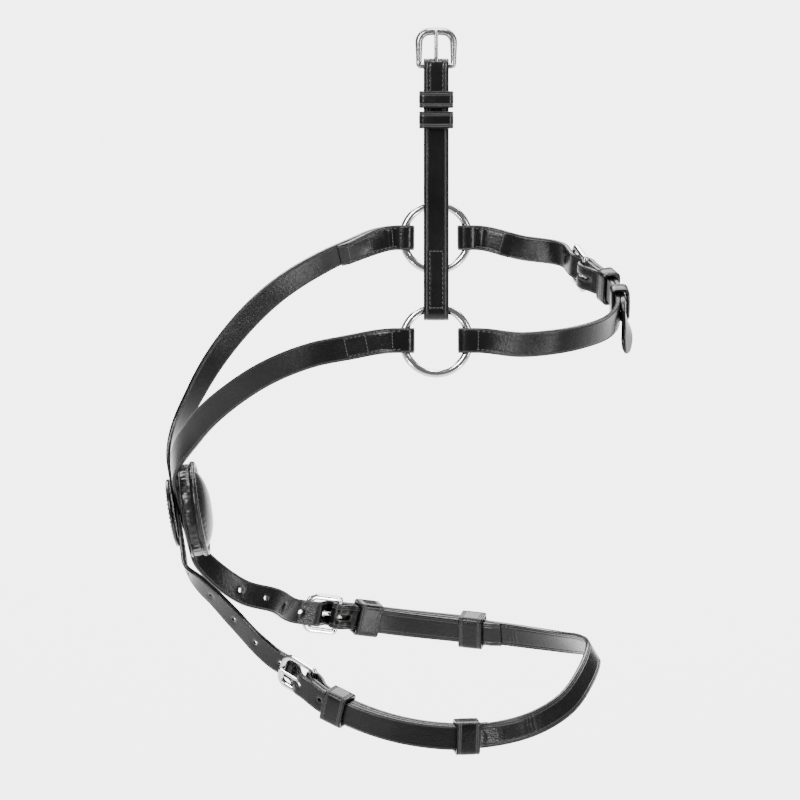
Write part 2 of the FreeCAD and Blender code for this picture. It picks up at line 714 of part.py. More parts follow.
def half_dome(name, trim):
    item = bound("Part::Ellipsoid", name, on_pad(0, flip=True),
                 Radius1="Sizes.dome_h - %s" % trim, Radius2=FACE_R + " - " + trim,
                 Radius3=FACE_R + " - " + trim)
    item.Angle1 = 0.0
    item.Angle2 = 90.0
    return item


named(cut("pad_face", half_dome("pad_face_outer", "0"),
          [half_dome("pad_face_inner", "Sizes.face_t")]), "pad_face")
core = doc.addObject("Part::Fuse", "pad_foam")
core.Base = bound("Part::Cylinder", "pad_foam_drum", on_pad(0),
                  Radius="Sizes.pad_d / 2 - Sizes.rim_d - 0.6",
                  Height="Sizes.wall_h + 1.2")
core.Tool = half_dome("pad_foam_dome", "(Sizes.face_t + 0.15)")
named(core, "pad_foam")

# --- Check and export ----------------------------------------------------------------
doc.recompute()
for item in doc.Objects:
    if {"Invalid", "Error"} & set(item.State):
        raise RuntimeError("%s did not recompute: %s" % (item.Name, item.State))
os.makedirs("parts", exist_ok=True)
for node, item in NODES:
    shape = item.Shape
    if shape.isNull() or not shape.isValid() or shape.Volume <= 0:
        raise RuntimeError("%s has no sound shape" % node)
    shape.exportStep("parts/%s.step" % node)
    box = shape.BoundBox
    print("%-18s solids %d vol %9.1f x %7.1f %7.1f y %7.1f %7.1f z %7.1f %7.1f" % (
        node, len(shape.Solids), shape.Volume, box.XMin, box.XMax, box.YMin, box.YMax,
        box.ZMin, box.ZMax))
print(len(NODES), "nodes")
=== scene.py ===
# %% [markdown]
# # A grackle noseband, piece by piece
# A grackle is a figure-of-eight noseband: two narrow straps run from rings on the
# horse's cheeks, cross over a padded disc on the nose and buckle to a chin strap below.
# Every piece here is a surface worked out with numpy, because a strap is only a small
# cross-section carried along a path, and arrays say that in one line. The first cell
# loads the solid model that all the pieces have to agree with.

# %% Load the frame
import json
import math
import bpy
import numpy as np
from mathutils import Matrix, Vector

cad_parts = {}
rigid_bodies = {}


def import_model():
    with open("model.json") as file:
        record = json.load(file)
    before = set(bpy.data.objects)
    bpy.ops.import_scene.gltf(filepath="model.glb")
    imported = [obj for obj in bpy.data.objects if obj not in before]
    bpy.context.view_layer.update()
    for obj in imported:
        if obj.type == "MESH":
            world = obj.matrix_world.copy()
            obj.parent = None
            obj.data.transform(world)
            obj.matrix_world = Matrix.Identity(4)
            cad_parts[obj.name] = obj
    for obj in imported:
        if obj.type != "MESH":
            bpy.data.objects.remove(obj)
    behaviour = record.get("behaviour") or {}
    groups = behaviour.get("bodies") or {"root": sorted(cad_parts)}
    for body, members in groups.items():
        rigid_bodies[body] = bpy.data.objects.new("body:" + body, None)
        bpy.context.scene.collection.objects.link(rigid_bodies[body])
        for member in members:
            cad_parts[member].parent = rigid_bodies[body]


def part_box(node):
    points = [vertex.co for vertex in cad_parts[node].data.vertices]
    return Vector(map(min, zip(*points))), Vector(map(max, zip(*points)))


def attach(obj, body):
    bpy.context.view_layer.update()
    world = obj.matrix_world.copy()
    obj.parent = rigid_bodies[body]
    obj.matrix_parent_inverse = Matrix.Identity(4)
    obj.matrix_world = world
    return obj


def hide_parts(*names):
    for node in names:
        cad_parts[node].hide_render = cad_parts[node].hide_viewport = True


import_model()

for left in [o for o in bpy.data.objects if o.name in ("Cube", "Light", "Camera")]:
    bpy.data.objects.remove(left)
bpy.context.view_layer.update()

# %% [markdown]
# ## Sizes
# A bridle maker thinks in a few sizes: strap width and thickness, ring and buckle. They
# are kept in millimetres, as on a cutting list, and turned into metres only when a mesh
# is written. The ring spacing comes from the frame, so it can't drift from the solids.

# %% Sizes in millimetres
MM = 0.001
STRAP_W, STRAP_T, PLY_GAP = 16.0, 2.8, 0.2
PLY = STRAP_T + PLY_GAP
RING_WIRE, RING_INNER = 2.6, 18.5
RING_R = RING_INNER + RING_WIRE
BAR, FRAME_WIDE, FRAME_LONG = 1.8, 25.6, 24.5
BARS = FRAME_LONG - 2 * BAR
TONGUE = 1.4
HOLE_D, HOLE_PITCH, CLOSED_IN = 4.0, 21.0, 0.4
KEEP_T, KEEP_AIR = 2.4, 0.6
CHIN_KEEPER, SLIM_KEEPER = 15.5, 10.8
FIT, RING_FIT = 0.15, 0.4
near_lo, near_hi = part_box("near_ring")
off_lo, off_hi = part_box("off_ring")
HALF = (off_lo[1] + off_hi[1] - near_lo[1] - near_hi[1]) / 4 / MM
LEAN = math.radians(20.0)
REACH, DROP = 152.6, 149.8
CHEEK = 153.6
print("ring spacing", round(2 * HALF, 2), "mm")

# %% [markdown]
# ## Paths
# A strap follows a path of stations. Each station has a point, an outward direction
# (the grain side of the leather) and, from those, the direction across the strap. A
# given row of points is smoothed first; then a natural cubic spline through the
# stations gives a point at any length, with curvature that never jumps, so highlights
# run along the leather without a kink.

# %% Vectors and splines
def vec(*values):
    return np.array(values, float)


def unit(a):
    """Each row of a, divided by its length."""
    a = np.asarray(a, float)
    return a / np.maximum(np.linalg.norm(a, axis=-1, keepdims=True), 1e-12)


def ease(f):
    """Smooth step: 3 f^2 - 2 f^3 with f held between 0 and 1."""
    f = np.clip(f, 0.0, 1.0)
    return f * f * (3 - 2 * f)


class Spline:
    """Natural cubic spline: second derivatives from the usual three-term equations."""

    def __init__(self, knots, values):
        self.x, self.y = np.asarray(knots, float), np.asarray(values, float)
        h = np.diff(self.x)
        n = len(self.x)
        a = np.zeros((n, n))
        b = np.zeros_like(self.y)
        a[0, 0] = a[-1, -1] = 1
        i = np.arange(1, n - 1)
        a[i, i - 1], a[i, i], a[i, i + 1] = h[:-1], 2 * (h[:-1] + h[1:]), h[1:]
        slope = np.diff(self.y, axis=0) / h[:, None]
        b[1:-1] = 6 * np.diff(slope, axis=0)
        self.m = np.linalg.solve(a, b)

    def __call__(self, s, slope=False):
        s = np.asarray(s, float)
        i = np.clip(np.searchsorted(self.x, s) - 1, 0, len(self.x) - 2)
        h = (self.x[i + 1] - self.x[i])[..., None]
        a = (self.x[i + 1] - s)[..., None] / h
        b = (s - self.x[i])[..., None] / h
        y0, y1, m0, m1 = self.y[i], self.y[i + 1], self.m[i], self.m[i + 1]
        if slope:
            return (y1 - y0) / h + h * ((1 - 3 * a**2) * m0 + (3 * b**2 - 1) * m1) / 6
        return a * y0 + b * y1 + h * h * ((a**3 - a) * m0 + (b**3 - b) * m1) / 6


class Path:
    """Stations (point, outward) with a spline through them, measured by length."""

    def __init__(self, points, outs):
        self.p, self.n = np.asarray(points, float), unit(outs)
        self.s = np.concatenate([[0], np.cumsum(np.linalg.norm(np.diff(self.p, axis=0), axis=1))])
        self.length = self.s[-1]
        self.curve = Spline(self.s, np.hstack([self.p, self.n]))

    def at(self, s):
        """Point, along, outward and across at lengths s, all unit and square."""
        both, slope = self.curve(s), self.curve(s, slope=True)
        t = unit(slope[..., :3])
        n = both[..., 3:]
        n = unit(n - t * np.sum(n * t, axis=-1, keepdims=True))
        return both[..., :3], t, n, np.cross(n, t)

    def place(self, s, across, lift):
        p, _, n, w = self.at(s)
        return p + w * np.asarray(across)[..., None] + n * np.asarray(lift)[..., None]

    def back(self):
        return Path(self.p[::-1], self.n[::-1])

    def part(self, a, b, step):
        s = np.linspace(a, b, max(2, int(abs(b - a) / step) + 1))
        p, _, n, _ = self.at(s)
        return p, n

    def nearest(self, point):
        return float(self.s[np.argmin(np.linalg.norm(self.p - point, axis=1))])


def smooth_path(points, outs, step=6.0):
    """Stations every step along a curve through the rows, with end slopes averaged by
    the lengths of the runs on each side."""
    rows = np.hstack([np.asarray(points, float), np.asarray(outs, float)])
    knots = np.concatenate([[0], np.cumsum(np.linalg.norm(np.diff(rows[:, :3], axis=0), axis=1))])
    h = np.diff(knots)[:, None]
    run = np.diff(rows, axis=0) / h
    slope = np.vstack([run[:1], (run[:-1] * h[1:] + run[1:] * h[:-1]) / (h[1:] + h[:-1]), run[-1:]])
    dense = []
    for j in range(len(rows) - 1):
        count = max(4, int(h[j, 0] * 2))
        s = (np.arange(count) / count)[:, None]
        dense.append((2 * s**3 - 3 * s**2 + 1) * rows[j] + (s**3 - 2 * s**2 + s) * h[j] * slope[j]
                     + (3 * s**2 - 2 * s**3) * rows[j + 1] + (s**3 - s**2) * h[j] * slope[j + 1])
    dense = np.vstack(dense + [rows[-1:]])
    walk = np.concatenate([[0], np.cumsum(np.linalg.norm(np.diff(dense[:, :3], axis=0), axis=1))])
    goal = np.linspace(0, walk[-1], max(2, int(round(walk[-1] / step))) + 1)
    even = np.stack([np.interp(goal, walk, dense[:, k]) for k in range(6)], axis=1)
    return Path(even[:, :3], even[:, 3:])


def turned(path, radius, tail, close=11.0):
    """Carry a path half round a bar, then back along its own inner side for the tail."""
    p, _, n, _ = (a[-1] for a in path.at(path.s))
    t = unit(path.p[-1] - path.p[-2])
    angle = np.pi * np.arange(1, 9)[:, None] / 8
    outs = n * np.cos(angle) + t * np.sin(angle)
    arc = p - n * radius + outs * radius
    count = int(math.ceil(tail / 4.0))
    run = tail * np.arange(1, count + 1) / count
    bp, _, bn, _ = path.at(path.length - run)
    drop = 2 * radius + (PLY - 2 * radius) * ease((run - 1.5) / close)
    return Path(np.vstack([path.p, arc, bp - bn * drop[:, None]]), np.vstack([path.n, outs, -bn]))


print("path tools ready")

# %% [markdown]
# ## The routes
# These are the runs of each strap round the head, listed as a point and which way
# the grain faces there. Above the pad the two nose straps mirror each other. They
# cross one over the other on it, and below it each hangs in its own way. The billets
# ride on top of the chin strap.

# %% Routes of the straps
RIGHT = vec(1, 0, 0)
UP_RING = vec(0, math.sin(LEAN), math.cos(LEAN))
OUT_NEAR = vec(0, -math.cos(LEAN), math.sin(LEAN))
NEAR_C, OFF_C = vec(0, -HALF, 0), vec(0, HALF, 0)
SAG = RING_R - math.sqrt(RING_R**2 - (STRAP_W / 2)**2) + FIT
RING_TURN = RING_WIRE + RING_FIT + STRAP_T / 2
CHEEK_TURN = RING_WIRE + SAG / 2 + RING_FIT + STRAP_T / 2
BAR_TURN = BAR + FIT + STRAP_T / 2
LEAD = 7.0
NOSE_OUT, NOSE_DOWN = unit(vec(-0.985, 0, -0.174)), unit(vec(0.174, 0, -0.985))
PAD_C = vec(-REACH, 0, -DROP)
WALL_LOW, WALL_H, BACK_T, DISC_T = 1.1, 5.4, 2.0, 3.0
BACK_LOW = WALL_LOW + WALL_H + PLY_GAP
INNER_PLY = BACK_LOW + BACK_T + PLY_GAP + STRAP_T / 2
OUTER_PLY = INNER_PLY + PLY
DISC_LOW = OUTER_PLY + STRAP_T / 2 + PLY_GAP
SPREAD, LOW_SPREAD = 0.44, 0.7

UPPER = [((-57.0, -91.5, -7.0), (-0.10, -0.95, 0.25)),
         ((-77.0, -83.2, -14.2), (-0.2, -0.95, 0.15)),
         ((-101.0, -73.3, -27.0), (-0.32, -0.94, 0.02)),
         ((-131.5, -55.5, -53.0), (-0.52, -0.83, -0.12)),
         ((-154.0, -35.5, -83.0), (-0.78, -0.58, -0.2))]
LOWER_OFF = [((-151.5, 23.5, -191.5), (-0.8, 0.5, -0.35)),
             ((-142.5, 26.0, -202.3), (-0.66, 0.66, -0.35)),
             ((-124.4, 31.0, -217.8), (-0.5, 0.8, -0.35)),
             ((-104.0, 45.0, -229.0), (-0.42, 0.86, -0.3))]
LOWER_NEAR = [((-151.5, -26.5, -190.5), (-0.78, -0.55, -0.3)),
              ((-140.0, -32.0, -200.5), (-0.62, -0.7, -0.35)),
              ((-128.0, -36.5, -212.5), (-0.5, -0.8, -0.35)),
              ((-113.5, -47.0, -225.0), (-0.42, -0.86, -0.3))]
CHIN_SIDE = [((-84.5, -71.5, -245.0), (-0.36, -0.92, -0.2)),
             ((-72.5, -81.6, -251.0), (-0.28, -0.95, -0.15)),
             ((-58.9, -90.0, -255.4), (-0.2, -0.97, -0.1)),
             ((-23.0, -101.5, -264.0), (-0.05, -1.0, 0)),
             ((25.6, -100.0, -268.6), (0.1, -1, 0.1)),
             ((61.4, -83.0, -267.0), (0.27, -0.95, 0.15)),
             ((84.0, -60.0, -261.5), (0.5, -0.82, 0.25)),
             ((98.0, -30.0, -252.5), (0.78, -0.45, 0.42))]
CHIN_END = [((103.6, 0.0, -247.0), (0.87, 0, 0.5))]
JAW_SIDE = [((54.0, -92.5, -4.4), (0.12, -0.96, 0.22)),
            ((78.0, -81.5, -6.2), (0.38, -0.92, 0.1)),
            ((96.0, -63.5, -8.6), (0.68, -0.73, 0)),
            ((110.5, -36.0, -12.0), (0.88, -0.45, 0)),
            ((116.5, 0.0, -13.0), (1, 0, 0)),
            ((111.0, 30.0, -11.5), (0.88, 0.45, 0)),
            ((98.0, 54.0, -9.0), (0.74, 0.66, 0))]
OFF_JAW = [((54.0, 92.5, -5.0), (0.12, 0.97, -0.2))]
JAW_TIP = [((121.8, -14.0, -21.5), (0.96, -0.27, 0.1)),
           ((121.5, -22.0, -36.0), (0.93, -0.35, 0.05))]


def mirror(rows):
    return [((p[0], -p[1], p[2]), (n[0], -n[1], n[2])) for p, n in rows]


def ring_end(centre, toward, out, turn=RING_TURN):
    stop = centre - toward * (RING_R - SAG) + out * turn
    return [(stop, out), (stop - toward * LEAD, out)]


def over_pad(lift, side=1.0):
    return [(PAD_C + NOSE_OUT * lift + NOSE_DOWN * run
             + vec(0, side * run * (LOW_SPREAD if run > 0 else SPREAD), 0), NOSE_OUT)
            for run in (-29.0, -23.0, -12.0, 0.0, 12.0, 23.0, 29.0)]


def path_of(rows, step=6.0):
    return smooth_path([p for p, _ in rows], [n for _, n in rows], step)


chin_loop = path_of(CHIN_SIDE + CHIN_END + mirror(CHIN_SIDE)[::-1])
OFF_HEEL = chin_loop.length - 24.0
keep = chin_loop.s < OFF_HEEL - 2.0
end_p, _, end_n, _ = chin_loop.at(vec(OFF_HEEL))
stations = np.vstack([chin_loop.p[keep], end_p])
outs = np.vstack([chin_loop.at(chin_loop.s)[2][keep], end_n])
chin_main = Path(stations - outs * PLY, outs)
near_jaw_main = path_of(ring_end(NEAR_C, -RIGHT, OUT_NEAR) + JAW_SIDE, 5.0)
foot = NEAR_C + UP_RING * (RING_R - SAG) + OUT_NEAR * CHEEK_TURN
head = NEAR_C + UP_RING * (RING_R + CHEEK) + OUT_NEAR * CHEEK_TURN
cheek_main = path_of([(foot, OUT_NEAR), ((foot + head) / 2, OUT_NEAR), (head, OUT_NEAR)])
print("chin loop", round(chin_loop.length), "mm")

# %% [markdown]
# ## Buckle places
# A buckle sits on its heel bar, inside the turned end of its strap, and tips outward a
# little because the billet comes up through it. Its own axes are kept here, since the
# billet, the frame and the tongue are all drawn from them.

# %% Buckle places and the billets through them
class Buckle:
    def __init__(self, name, path, tilt):
        n = path.at(path.s)[2][-1]
        t = unit(path.p[-1] - path.p[-2])
        t = unit(t - n * (t @ n))
        self.name = name
        self.heel = path.p[-1] - n * BAR_TURN
        self.along = t * math.cos(tilt) + n * math.sin(tilt)
        self.out = n * math.cos(tilt) - t * math.sin(tilt)
        self.across = np.cross(self.out, self.along)

    def place(self, local):
        """Local (along, across, out) millimetres to the row frame."""
        local = np.asarray(local, float)
        return (self.heel + local[..., :1] * self.along + local[..., 1:2] * self.across
                + local[..., 2:3] * self.out)


TILT = math.radians(12.0)
near_chin = Buckle("near_chin", chin_main.back(), TILT)
off_chin = Buckle("off_chin", chin_main, TILT)
jaw = Buckle("jaw", near_jaw_main, TILT)
cheek = Buckle("cheek", cheek_main, 0.0)
UNDER, OVER = BAR + PLY_GAP + STRAP_T / 2, BAR_TURN + PLY


def through(buckle):
    """Rows under the end bar, then up over the heel bar, as an eased step."""
    f = vec(1.35, 1.1, 0.95, 0.84, 0.72, 0.6, 0.5, 0.4, 0.3, 0.2, 0.1)
    lift = OVER - (OVER + UNDER) * ease((f - 0.18) / 0.62)
    spots = buckle.place(np.stack([f * BARS, 0 * f, lift], axis=1))
    return [(p, buckle.out) for p in spots]


def lap(path, lengths, lift=0.0):
    p, _, n, _ = path.at(np.asarray(lengths, float))
    return list(zip(p + n * lift, n))


near_nose = path_of(ring_end(NEAR_C, RIGHT, OUT_NEAR) + UPPER + over_pad(INNER_PLY) + LOWER_OFF
                    + through(off_chin) + lap(chin_loop, OFF_HEEL - np.arange(3, 117, 6)), 3.0)
off_nose = path_of(ring_end(OFF_C, RIGHT, -OUT_NEAR) + mirror(UPPER) + over_pad(OUTER_PLY, -1.0)
                   + LOWER_NEAR + through(near_chin) + lap(chin_loop, np.arange(3, 133, 6)), 3.0)
jaw_lap = near_jaw_main.length - np.append(np.arange(3, 60, 5), 62)
off_jaw = path_of(ring_end(OFF_C, -RIGHT, -OUT_NEAR) + OFF_JAW + through(jaw)
                  + lap(near_jaw_main, jaw_lap, PLY) + JAW_TIP, 3.0)

NOSE_TAIL, OFF_JAW_TAIL, NEAR_JAW_TAIL, JAW_BAR_TAIL = 46.0, 31.0, 20.0, 16.0
CHIN_TAIL, FOOT_TAIL, HEAD_TAIL = 128.0, 52.0, 49.0
near_nose_path = turned(near_nose.back(), RING_TURN, NOSE_TAIL).back()
off_nose_path = turned(off_nose.back(), RING_TURN, NOSE_TAIL).back()
off_jaw_path = turned(off_jaw.back(), RING_TURN, OFF_JAW_TAIL).back()
near_jaw_path = turned(turned(near_jaw_main.back(), RING_TURN, NEAR_JAW_TAIL).back(),
                       BAR_TURN, JAW_BAR_TAIL)
count = len(chin_main.p)
far_end = turned(chin_main, BAR_TURN, CHIN_TAIL - 14.0)
near_end = turned(chin_main.back(), BAR_TURN, CHIN_TAIL).back()
chin_path = Path(np.vstack([near_end.p, far_end.p[count:]]),
                 np.vstack([near_end.n, far_end.n[count:]]))
foot_end = turned(cheek_main.back(), CHEEK_TURN, FOOT_TAIL).back()
top_end = turned(cheek_main, BAR_TURN, HEAD_TAIL)
count = len(cheek_main.p)
cheek_path = Path(np.vstack([foot_end.p, top_end.p[count:]]),
                  np.vstack([foot_end.n, top_end.n[count:]]))
for name, path in (("near nose", near_nose_path), ("off nose", off_nose_path), ("chin", chin_path)):
    print(name, "strap", round(path.length), "mm with its turned ends")

# %% [markdown]
# ## Writing a mesh
# Blender stores a mesh as flat arrays, so a whole grid of points goes in at once with
# foreach_set. Three small numbers ride on every point of a strap as attributes: how much
# it is a cut edge, the fuzzy flesh side, and a painted highlight along crease lines and
# hole rims. The leather material reads them.

# %% Mesh writer
def write_mesh(name, points, quads, material, extra=(), marks=None, sharp=38.0):
    """Mesh from points in millimetres, an array of quads and a list of other faces."""
    loops = np.concatenate([np.asarray(quads, np.int32).ravel()]
                           + [np.asarray(f, np.int32) for f in extra])
    sizes = np.concatenate([np.full(len(quads), 4), [len(f) for f in extra]]).astype(np.int32)
    mesh = bpy.data.meshes.new(name)
    mesh.vertices.add(len(points))
    mesh.vertices.foreach_set("co", (np.asarray(points, np.float32) * MM).ravel())
    mesh.loops.add(len(loops))
    mesh.loops.foreach_set("vertex_index", loops)
    mesh.polygons.add(len(sizes))
    starts = np.concatenate([[0], np.cumsum(sizes)[:-1]]).astype(np.int32)
    mesh.polygons.foreach_set("loop_start", starts)
    mesh.update(calc_edges=True)
    mesh.validate()
    for key, values in (marks or {}).items():
        layer = mesh.attributes.new(key, "FLOAT", "POINT")
        layer.data.foreach_set("value", np.asarray(values, np.float32).ravel())
    mesh.shade_smooth()
    mesh.set_sharp_from_angle(angle=math.radians(sharp))
    mesh.materials.append(material)
    piece = bpy.data.objects.new(name, mesh)
    bpy.context.scene.collection.objects.link(piece)
    return piece


def grid_quads(rows, cols, close_rows=False, close_cols=True):
    """Quads of a grid of points; a closed direction wraps round to its start."""
    r = np.arange(rows if close_rows else rows - 1)[:, None]
    c = np.arange(cols if close_cols else cols - 1)[None, :]
    r1, c1 = (r + 1) % rows, (c + 1) % cols
    quads = np.stack([r * cols + c, r1 * cols + c, r1 * cols + c1, r * cols + c1], axis=-1)
    return quads.reshape(-1, 4)


def end_faces(rows, cols):
    """The two faces that close a tube of rows, for sides that are turned round."""
    return [list(range(cols))[::-1], [(rows - 1) * cols + i for i in range(cols)]]


def settle(piece, body, slot, *nodes):
    """Say which body carries a piece and the solids it stands for; the slot is not used."""
    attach(piece, body)
    if nodes:
        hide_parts(*nodes)
    return piece


print("mesh writer ready")

# %% [markdown]
# ## Black bridle leather
# Bridle leather is dyed black, waxed and polished: nearly smooth, with a soft shine that
# varies from place to place, fine pores, and cut edges inked and rubbed darker. The
# flesh side is matt and fibrous. One function makes all of it, because the difference is
# only a few numbers. The pores are a small cell pattern turned into bump; the shine
# comes from slow noise on the roughness.

# %% Leather
def link(tree, a, b):
    tree.links.new(a, b)


def node(tree, kind, **values):
    made = tree.nodes.new(kind)
    for key, value in values.items():
        if key in made.inputs:
            made.inputs[key].default_value = value
        else:
            setattr(made, key, value)
    return made


def new_material(name):
    """A node material, with its tree and its Principled node."""
    made = bpy.data.materials.new(name)
    made.use_nodes = True
    return made, made.node_tree, made.node_tree.nodes["Principled BSDF"]


def ramp(tree, source, low, high, dark, light):
    """Map a factor from low..high to a grey between two values."""
    made = node(tree, "ShaderNodeMapRange")
    made.inputs["From Min"].default_value = low
    made.inputs["From Max"].default_value = high
    made.inputs["To Min"].default_value = dark
    made.inputs["To Max"].default_value = light
    link(tree, source, made.inputs["Value"])
    return made.outputs["Result"]


def blend_value(tree, factor, a, b):
    made = node(tree, "ShaderNodeMix", data_type="FLOAT")
    link(tree, factor, made.inputs[0])
    for socket, value in ((made.inputs[2], a), (made.inputs[3], b)):
        if isinstance(value, (int, float)):
            socket.default_value = value
        else:
            link(tree, value, socket)
    return made.outputs[0]


def blend_color(tree, factor, a, b):
    made = node(tree, "ShaderNodeMix", data_type="RGBA")
    link(tree, factor, made.inputs[0])
    for socket, value in ((made.inputs[6], a), (made.inputs[7], b)):
        if isinstance(value, tuple):
            socket.default_value = value
        else:
            link(tree, value, socket)
    return made.outputs[2]


def leather(name, tint=0.0034, shine=(0.17, 0.29), pores=0.5, flesh_tint=0.014, coat=0.03):
    """Slow noise sets colour and shine, small cells the pores; cut edges are smoother,
    a painted highlight makes crease lines and hole rims paler, and the flesh side is matt fibre."""
    made, tree, skin = new_material(name)
    skin.inputs["Specular IOR Level"].default_value = 0.18
    skin.inputs["Coat Weight"].default_value = coat
    skin.inputs["Coat Roughness"].default_value = 0.22
    where = node(tree, "ShaderNodeTexCoord").outputs["Object"]
    edge = node(tree, "ShaderNodeAttribute", attribute_name="edge").outputs["Fac"]
    flesh = node(tree, "ShaderNodeAttribute", attribute_name="flesh").outputs["Fac"]
    # Painted highlight: this attribute marks the crease lines and hole rims that are lightened to
    # stand in for their glint.
    worn = node(tree, "ShaderNodeAttribute", attribute_name="worn").outputs["Fac"]
    slow = node(tree, "ShaderNodeTexNoise", Scale=28.0, Detail=4.0, Roughness=0.6)
    fine = node(tree, "ShaderNodeTexNoise", Scale=420.0, Detail=5.0, Roughness=0.65)
    cells = node(tree, "ShaderNodeTexVoronoi", Scale=900.0)
    fibres = node(tree, "ShaderNodeTexNoise", Scale=1900.0, Detail=6.0, Roughness=0.8)
    for texture in (slow, fine, cells, fibres):
        link(tree, where, texture.inputs["Vector"])
    dark = (tint * 0.72, tint * 0.72, tint * 0.76, 1)
    light = (tint * 1.35, tint * 1.33, tint * 1.36, 1)
    grain = blend_color(tree, ramp(tree, slow.outputs["Fac"], 0.35, 0.68, 0.0, 1.0), dark, light)
    # Painted highlight: crease lines and hole rims are blended towards pale grey.
    grain = blend_color(tree, ramp(tree, worn, 0.0, 1.0, 0.0, 0.55), grain,
                        (0.075, 0.073, 0.07, 1))
    cut = blend_color(tree, edge, grain, (tint * 0.5, tint * 0.5, tint * 0.5, 1))
    fuzz = blend_color(tree, ramp(tree, fibres.outputs["Fac"], 0.3, 0.7, 0.0, 1.0),
                       (flesh_tint * 0.55, flesh_tint * 0.55, flesh_tint * 0.56, 1),
                       (flesh_tint * 1.5, flesh_tint * 1.5, flesh_tint * 1.48, 1))
    link(tree, blend_color(tree, flesh, cut, fuzz), skin.inputs["Base Color"])
    mixed = node(tree, "ShaderNodeMath", operation="MULTIPLY")
    link(tree, slow.outputs["Fac"], mixed.inputs[0])
    link(tree, ramp(tree, fine.outputs["Fac"], 0.3, 0.7, 0.8, 1.2), mixed.inputs[1])
    gloss = ramp(tree, mixed.outputs[0], 0.3, 0.65, *shine)
    gloss = blend_value(tree, edge, gloss, shine[0] + 0.06)
    link(tree, blend_value(tree, flesh, gloss, 0.92), skin.inputs["Roughness"])
    bumps = node(tree, "ShaderNodeBump", Strength=pores, Distance=0.00012)
    link(tree, cells.outputs["Distance"], bumps.inputs["Height"])
    waves = node(tree, "ShaderNodeBump", Strength=0.4, Distance=0.0003)
    link(tree, fine.outputs["Fac"], waves.inputs["Height"])
    link(tree, bumps.outputs["Normal"], waves.inputs["Normal"])
    hairs = node(tree, "ShaderNodeBump", Distance=0.0005)
    link(tree, ramp(tree, flesh, 0.0, 1.0, 0.0, 0.9), hairs.inputs["Strength"])
    link(tree, fibres.outputs["Fac"], hairs.inputs["Height"])
    link(tree, waves.outputs["Normal"], hairs.inputs["Normal"])
    link(tree, hairs.outputs["Normal"], skin.inputs["Normal"])
    return made


strap_black = leather("strap_black")
jaw_black = leather("jaw_strap_black", flesh_tint=0.09)
keeper_black = leather("keeper_black", tint=0.003, shine=(0.18, 0.3))
disc_black = leather("disc_patent_black", tint=0.003, shine=(0.14, 0.24), pores=0.12, coat=0.35)
pad_black = leather("pad_soft_black", tint=0.004, shine=(0.22, 0.34), pores=0.5, coat=0.15)
print("leathers:", [m.name for m in (strap_black, jaw_black, keeper_black, disc_black, pad_black)])

# %% [markdown]
# ## Steel and thread
# The rings and buckles are polished stainless steel: bright, a little uneven where the
# polishing wheel went, with hairline rubs. The thread is waxed linen, black like the
# leather but duller, with a twist.

# %% Steel and thread
def steel(name, tint, shine, rubs=0.12):
    """Metal of one tint: slow noise shades it, and hairlines drawn out along X rub it."""
    made, tree, skin = new_material(name)
    skin.inputs["Metallic"].default_value = 1.0
    where = node(tree, "ShaderNodeTexCoord").outputs["Object"]
    slow = node(tree, "ShaderNodeTexNoise", Scale=90.0, Detail=3.0)
    stretch = node(tree, "ShaderNodeMapping")
    stretch.inputs["Scale"].default_value = (240.0, 2600.0, 900.0)
    hair = node(tree, "ShaderNodeTexNoise", Scale=1.0, Detail=4.0, Roughness=0.7)
    link(tree, where, slow.inputs["Vector"])
    link(tree, where, stretch.inputs["Vector"])
    link(tree, stretch.outputs["Vector"], hair.inputs["Vector"])
    shade = blend_color(tree, ramp(tree, slow.outputs["Fac"], 0.3, 0.7, 0.0, 1.0),
                        (tint * 0.86, tint * 0.86, tint * 0.87, 1), (tint, tint, tint * 0.99, 1))
    link(tree, shade, skin.inputs["Base Color"])
    link(tree, ramp(tree, hair.outputs["Fac"], 0.35, 0.75, *shine), skin.inputs["Roughness"])
    bump = node(tree, "ShaderNodeBump", Strength=rubs, Distance=0.00003)
    link(tree, hair.outputs["Fac"], bump.inputs["Height"])
    link(tree, bump.outputs["Normal"], skin.inputs["Normal"])
    return made


ring_bright = steel("ring_bright_steel", 0.5, (0.1, 0.24))
buckle_bright = steel("buckle_bright_steel", 0.54, (0.12, 0.26))
buckle_satin = steel("cheek_buckle_satin_steel", 0.27, (0.2, 0.36))

thread_black, tree, thread_skin = new_material("waxed_thread")
twist = node(tree, "ShaderNodeTexWave", Scale=900.0, Distortion=1.5)
link(tree, node(tree, "ShaderNodeTexCoord").outputs["Object"], twist.inputs["Vector"])
link(tree, blend_color(tree, twist.outputs["Fac"], (0.004, 0.004, 0.005, 1), (0.026, 0.026, 0.027, 1)),
     thread_skin.inputs["Base Color"])
thread_skin.inputs["Roughness"].default_value = 0.55
print("metals and thread ready")

# %% [markdown]
# ## The strap section
# A strap is a rectangle of leather with its four corners eased off, a crease line
# pressed along each side of the grain, and a shallow channel where it is stitched. The
# section is the same all along, so a strap is that loop of points carried along the
# path: point + across * w + outward * n. Holes are made in the same grid: the lines near
# a hole are pulled from a square into a circle, the cells inside are left out, and a wall
# joins the two faces. That keeps the leather one closed skin with a round, pressed rim.

# %% Strap surface
HOLE_CELL = 2.0
HOLE_SPREAD = 5.2
NEAR_LINES = np.array([-5.2, -4.3, -3.4, -2.7, -2.3, -2.0, -1.2, -0.4,
                       0.4, 1.2, 2.0, 2.3, 2.7, 3.4, 4.3, 5.2])


